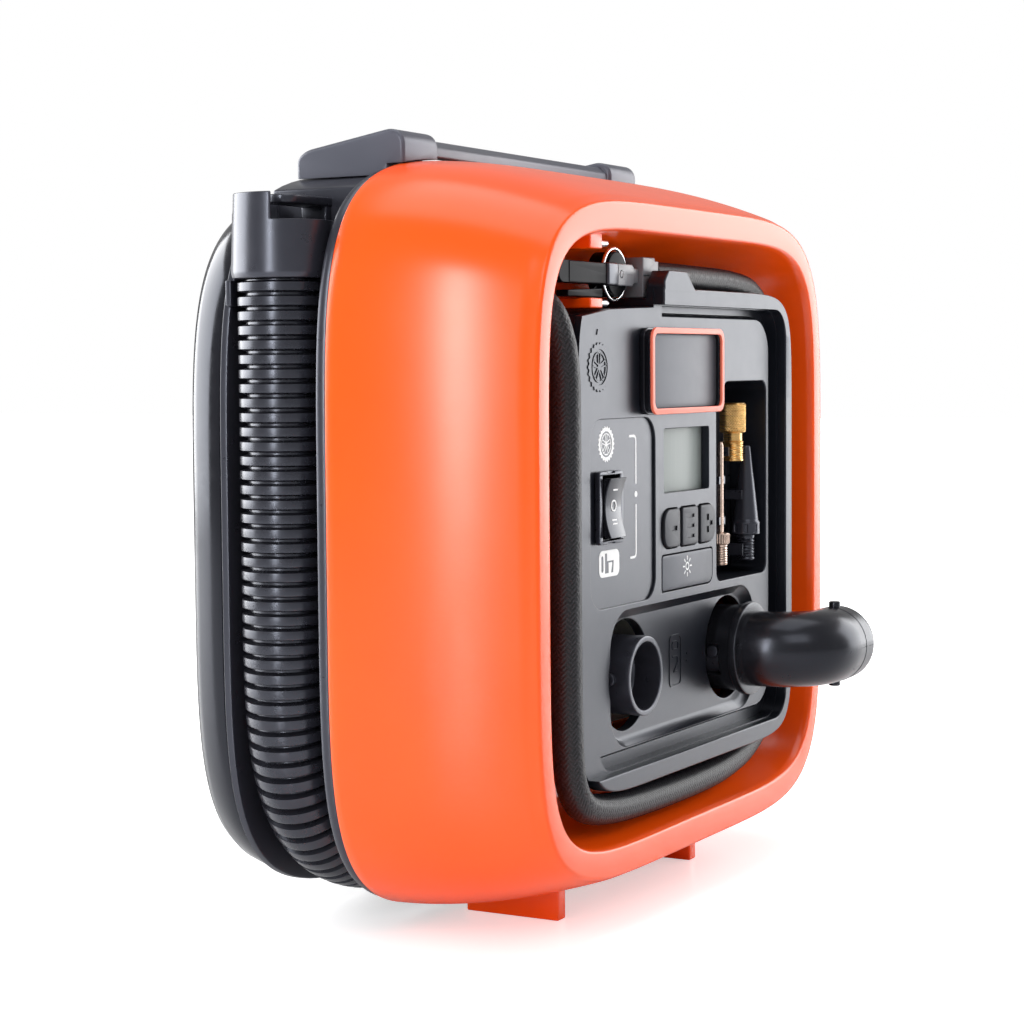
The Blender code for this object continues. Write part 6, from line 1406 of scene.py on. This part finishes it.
def accessories():
    top = 38.6
    fine_knurl, brass_thread = knurl(top - 0.6, top - 9.4, 30, 0.34), thread(top - 13.2, top - 19.0, 0.75, 0.3)
    turned_piece("presta_adapter_knurled", "brass", PRESTA_X, [
        (0, top), (3.9, top), (4.4, top - 0.5), (4.4, top - 9.6), (3.9, top - 10.0), (3.2, top - 10.1),
        (3.2, top - 12.6), (3.6, top - 12.9), (3.6, top - 19.3), (0, top - 19.3)], 0.12, 180,
        lambda a, h, r: fine_knurl(a, h, r) * (r > 4.3) + brass_thread(a, h, r) * (r > 3.55))

    top = 26.0
    needle_thread = thread(-8.6, -14.6, 0.8, 0.28)

    def needle_relief(a, h, r):
        ridges = np.where((h < -4.5) & (h > -7.7) & (r > 2.6), -0.22 * np.abs(np.sin(a * 12)), 0.0)
        return ridges + needle_thread(a, h, r) * (r > 2.2)

    turned_piece("ball_needle_turned", "nickel", NEEDLE_X, [
        (0, top), (0.5, top - 0.2), (0.85, top - 0.8), (0.95, top - 1.6), (0.95, -4.0), (2.7, -4.3), (3.0, -4.7),
        (3.0, -7.4), (2.7, -7.8), (2.3, -8.2), (2.3, -14.7), (2.0, -15.0), (0, -15.0)], 0.16, 96, needle_relief)

    top = 24.0
    cone_thread = thread(-7.2, -14.2, 0.95, 0.42)

    def cone_relief(a, h, r):
        flats = np.where((h < -2.6) & (h > -5.4) & (r > 4.6), -0.35 * (np.abs(np.sin(a * 4)) > 0.8), 0.0)
        return flats + cone_thread(a, h, r) * (r > 2.95)

    hole = rod((CONE_X, ACCESSORY_Y, top - 3.0), 0.8, 6.0, "z", 0, 24)
    turned_piece("taper_nozzle_moulded", "black", CONE_X, [
        (0, top), (1.25, top), (1.6, top - 0.4), (2.4, 16.0), (3.35, 8.0), (4.3, -1.0), (4.8, -1.9), (4.8, -5.8),
        (4.1, -6.2), (3.0, -6.4), (3.0, -14.4), (2.7, -14.8), (0, -14.8)], 0.2, 120, cone_relief, [hole])


# ---------------------------------------------------------------- pieces kept from the frame

KEPT = {
    "black": ("accessory_clips",),
    "nylon": ("display_module", "chassis_plate", "blower_impeller", "crank_wheel"),
    "board": ("control_board", "power_board"),
    "panel": ("blower_housing", "motor_cradle"),
    "steel": ("blower_motor", "blower_shaft", "pump_motor", "pump_shaft", "drive_pinion"),
    "alloy": ("pump_frame", "connecting_rod", "piston", "cylinder", "cylinder_head"),
    "rubber": ("air_line",),
}


def kept_pieces():
    """Looks and slightly rounded edges for the pieces that keep their solids."""
    for look, names in KEPT.items():
        for name in names:
            node = frame["nodes"][name]
            node.data.materials.clear()
            node.data.materials.append(MATERIALS[look])
            rounding = node.modifiers.new("edges", "BEVEL")
            rounding.width = 0.0002
            rounding.segments = 2
            rounding.limit_method = "ANGLE"
            rounding.angle_limit = math.radians(50)


# ---------------------------------------------------------------- floor and light


def by_ray(tree, plain, seen):
    """A strength for plain rays, and another for rays from the camera or through clear pieces."""
    path = tree.nodes.new("ShaderNodeLightPath")
    either = tree.nodes.new("ShaderNodeMath")
    either.operation = "MAXIMUM"
    tree.links.new(path.outputs["Is Camera Ray"], either.inputs[0])
    tree.links.new(path.outputs["Is Transmission Ray"], either.inputs[1])
    return ranged(tree, either.outputs[0], plain, seen, 0.0, 1.0)


def studio():
    scene = bpy.context.scene
    scene.view_settings.view_transform = "Standard"
    world = bpy.data.worlds.new("studio")
    scene.world = world
    world.use_nodes = True
    tree = world.node_tree
    background = tree.nodes["Background"]
    background.inputs["Color"].default_value = (1.0, 1.0, 1.0, 1.0)
    level = by_ray(tree, 0.42, 1.0)
    tree.links.new(level, background.inputs["Strength"])

    bm = bmesh.new()
    bmesh.ops.create_grid(bm, x_segments=1, y_segments=1, size=6.0)
    floor = bpy.data.objects.new("floor", from_bmesh(bm))
    scene.collection.objects.link(floor)
    made, tree, shader = shader_of("studio_floor")
    slow = noise(tree, 3.0, 2.0)
    grey = mixed(tree, ranged(tree, slow, 0, 1), (0.86, 0.86, 0.87), (0.88, 0.88, 0.89))
    tree.links.new(grey, shader.inputs["Base Color"])
    shader.inputs["Roughness"].default_value = 0.3
    shader.inputs["Emission Color"].default_value = (1.0, 1.0, 1.0, 1.0)
    glow = by_ray(tree, 0.0, 1.0)
    away = tree.nodes.new("ShaderNodeVectorMath")
    away.operation = "LENGTH"
    tree.links.new(place(tree), away.inputs[0])
    level = tree.nodes.new("ShaderNodeMath")
    level.operation = "MULTIPLY"
    tree.links.new(glow, level.inputs[0])
    tree.links.new(ranged(tree, away.outputs["Value"], 0.5, 1.0, 0.1, 0.36), level.inputs[1])
    tree.links.new(level.outputs[0], shader.inputs["Emission Strength"])
    floor.data.materials.append(made)

    target = Vector((0, 0, 0.12))
    lamps = (
        ("front_softbox", (1.35, -0.85, 0.4), (1.3, 1.5), 4.5),
        ("left_strip", (-1.33, -0.03, 0.5), (0.1, 0.95), 30.0),
        ("near_softbox", (-0.9, -1.0, 1.15), (0.9, 0.7), 2.3),
        ("rear_softbox", (-0.25, 1.45, 0.55), (1.5, 1.1), 7.0),
        ("top_softbox", (0.1, 0.0, 1.5), (1.2, 1.2), 1.7),
    )
    for name, spot, size, radiance in lamps:
        data = bpy.data.lights.new(name, "AREA")
        data.shape = "RECTANGLE"
        data.size, data.size_y = size
        data.energy = radiance * math.pi * size[0] * size[1]
        lamp = bpy.data.objects.new(name, data)
        lamp.location = spot
        lamp.rotation_euler = (target - Vector(spot)).to_track_quat("-Z", "Y").to_euler()
        scene.collection.objects.link(lamp)


shell_skin()
frame_skin()
rear_skin()
handle_skin()
ribbed_hose()
hose_cuff("hose_cuff_left", -1)
hose_cuff("hose_cuff_right", 1)
panel_skin()
printed_marks()
badge()
switch()
display()
keys()
ports()
elbow()
air_hose()
chuck()
accessories()
kept_pieces()
studio()
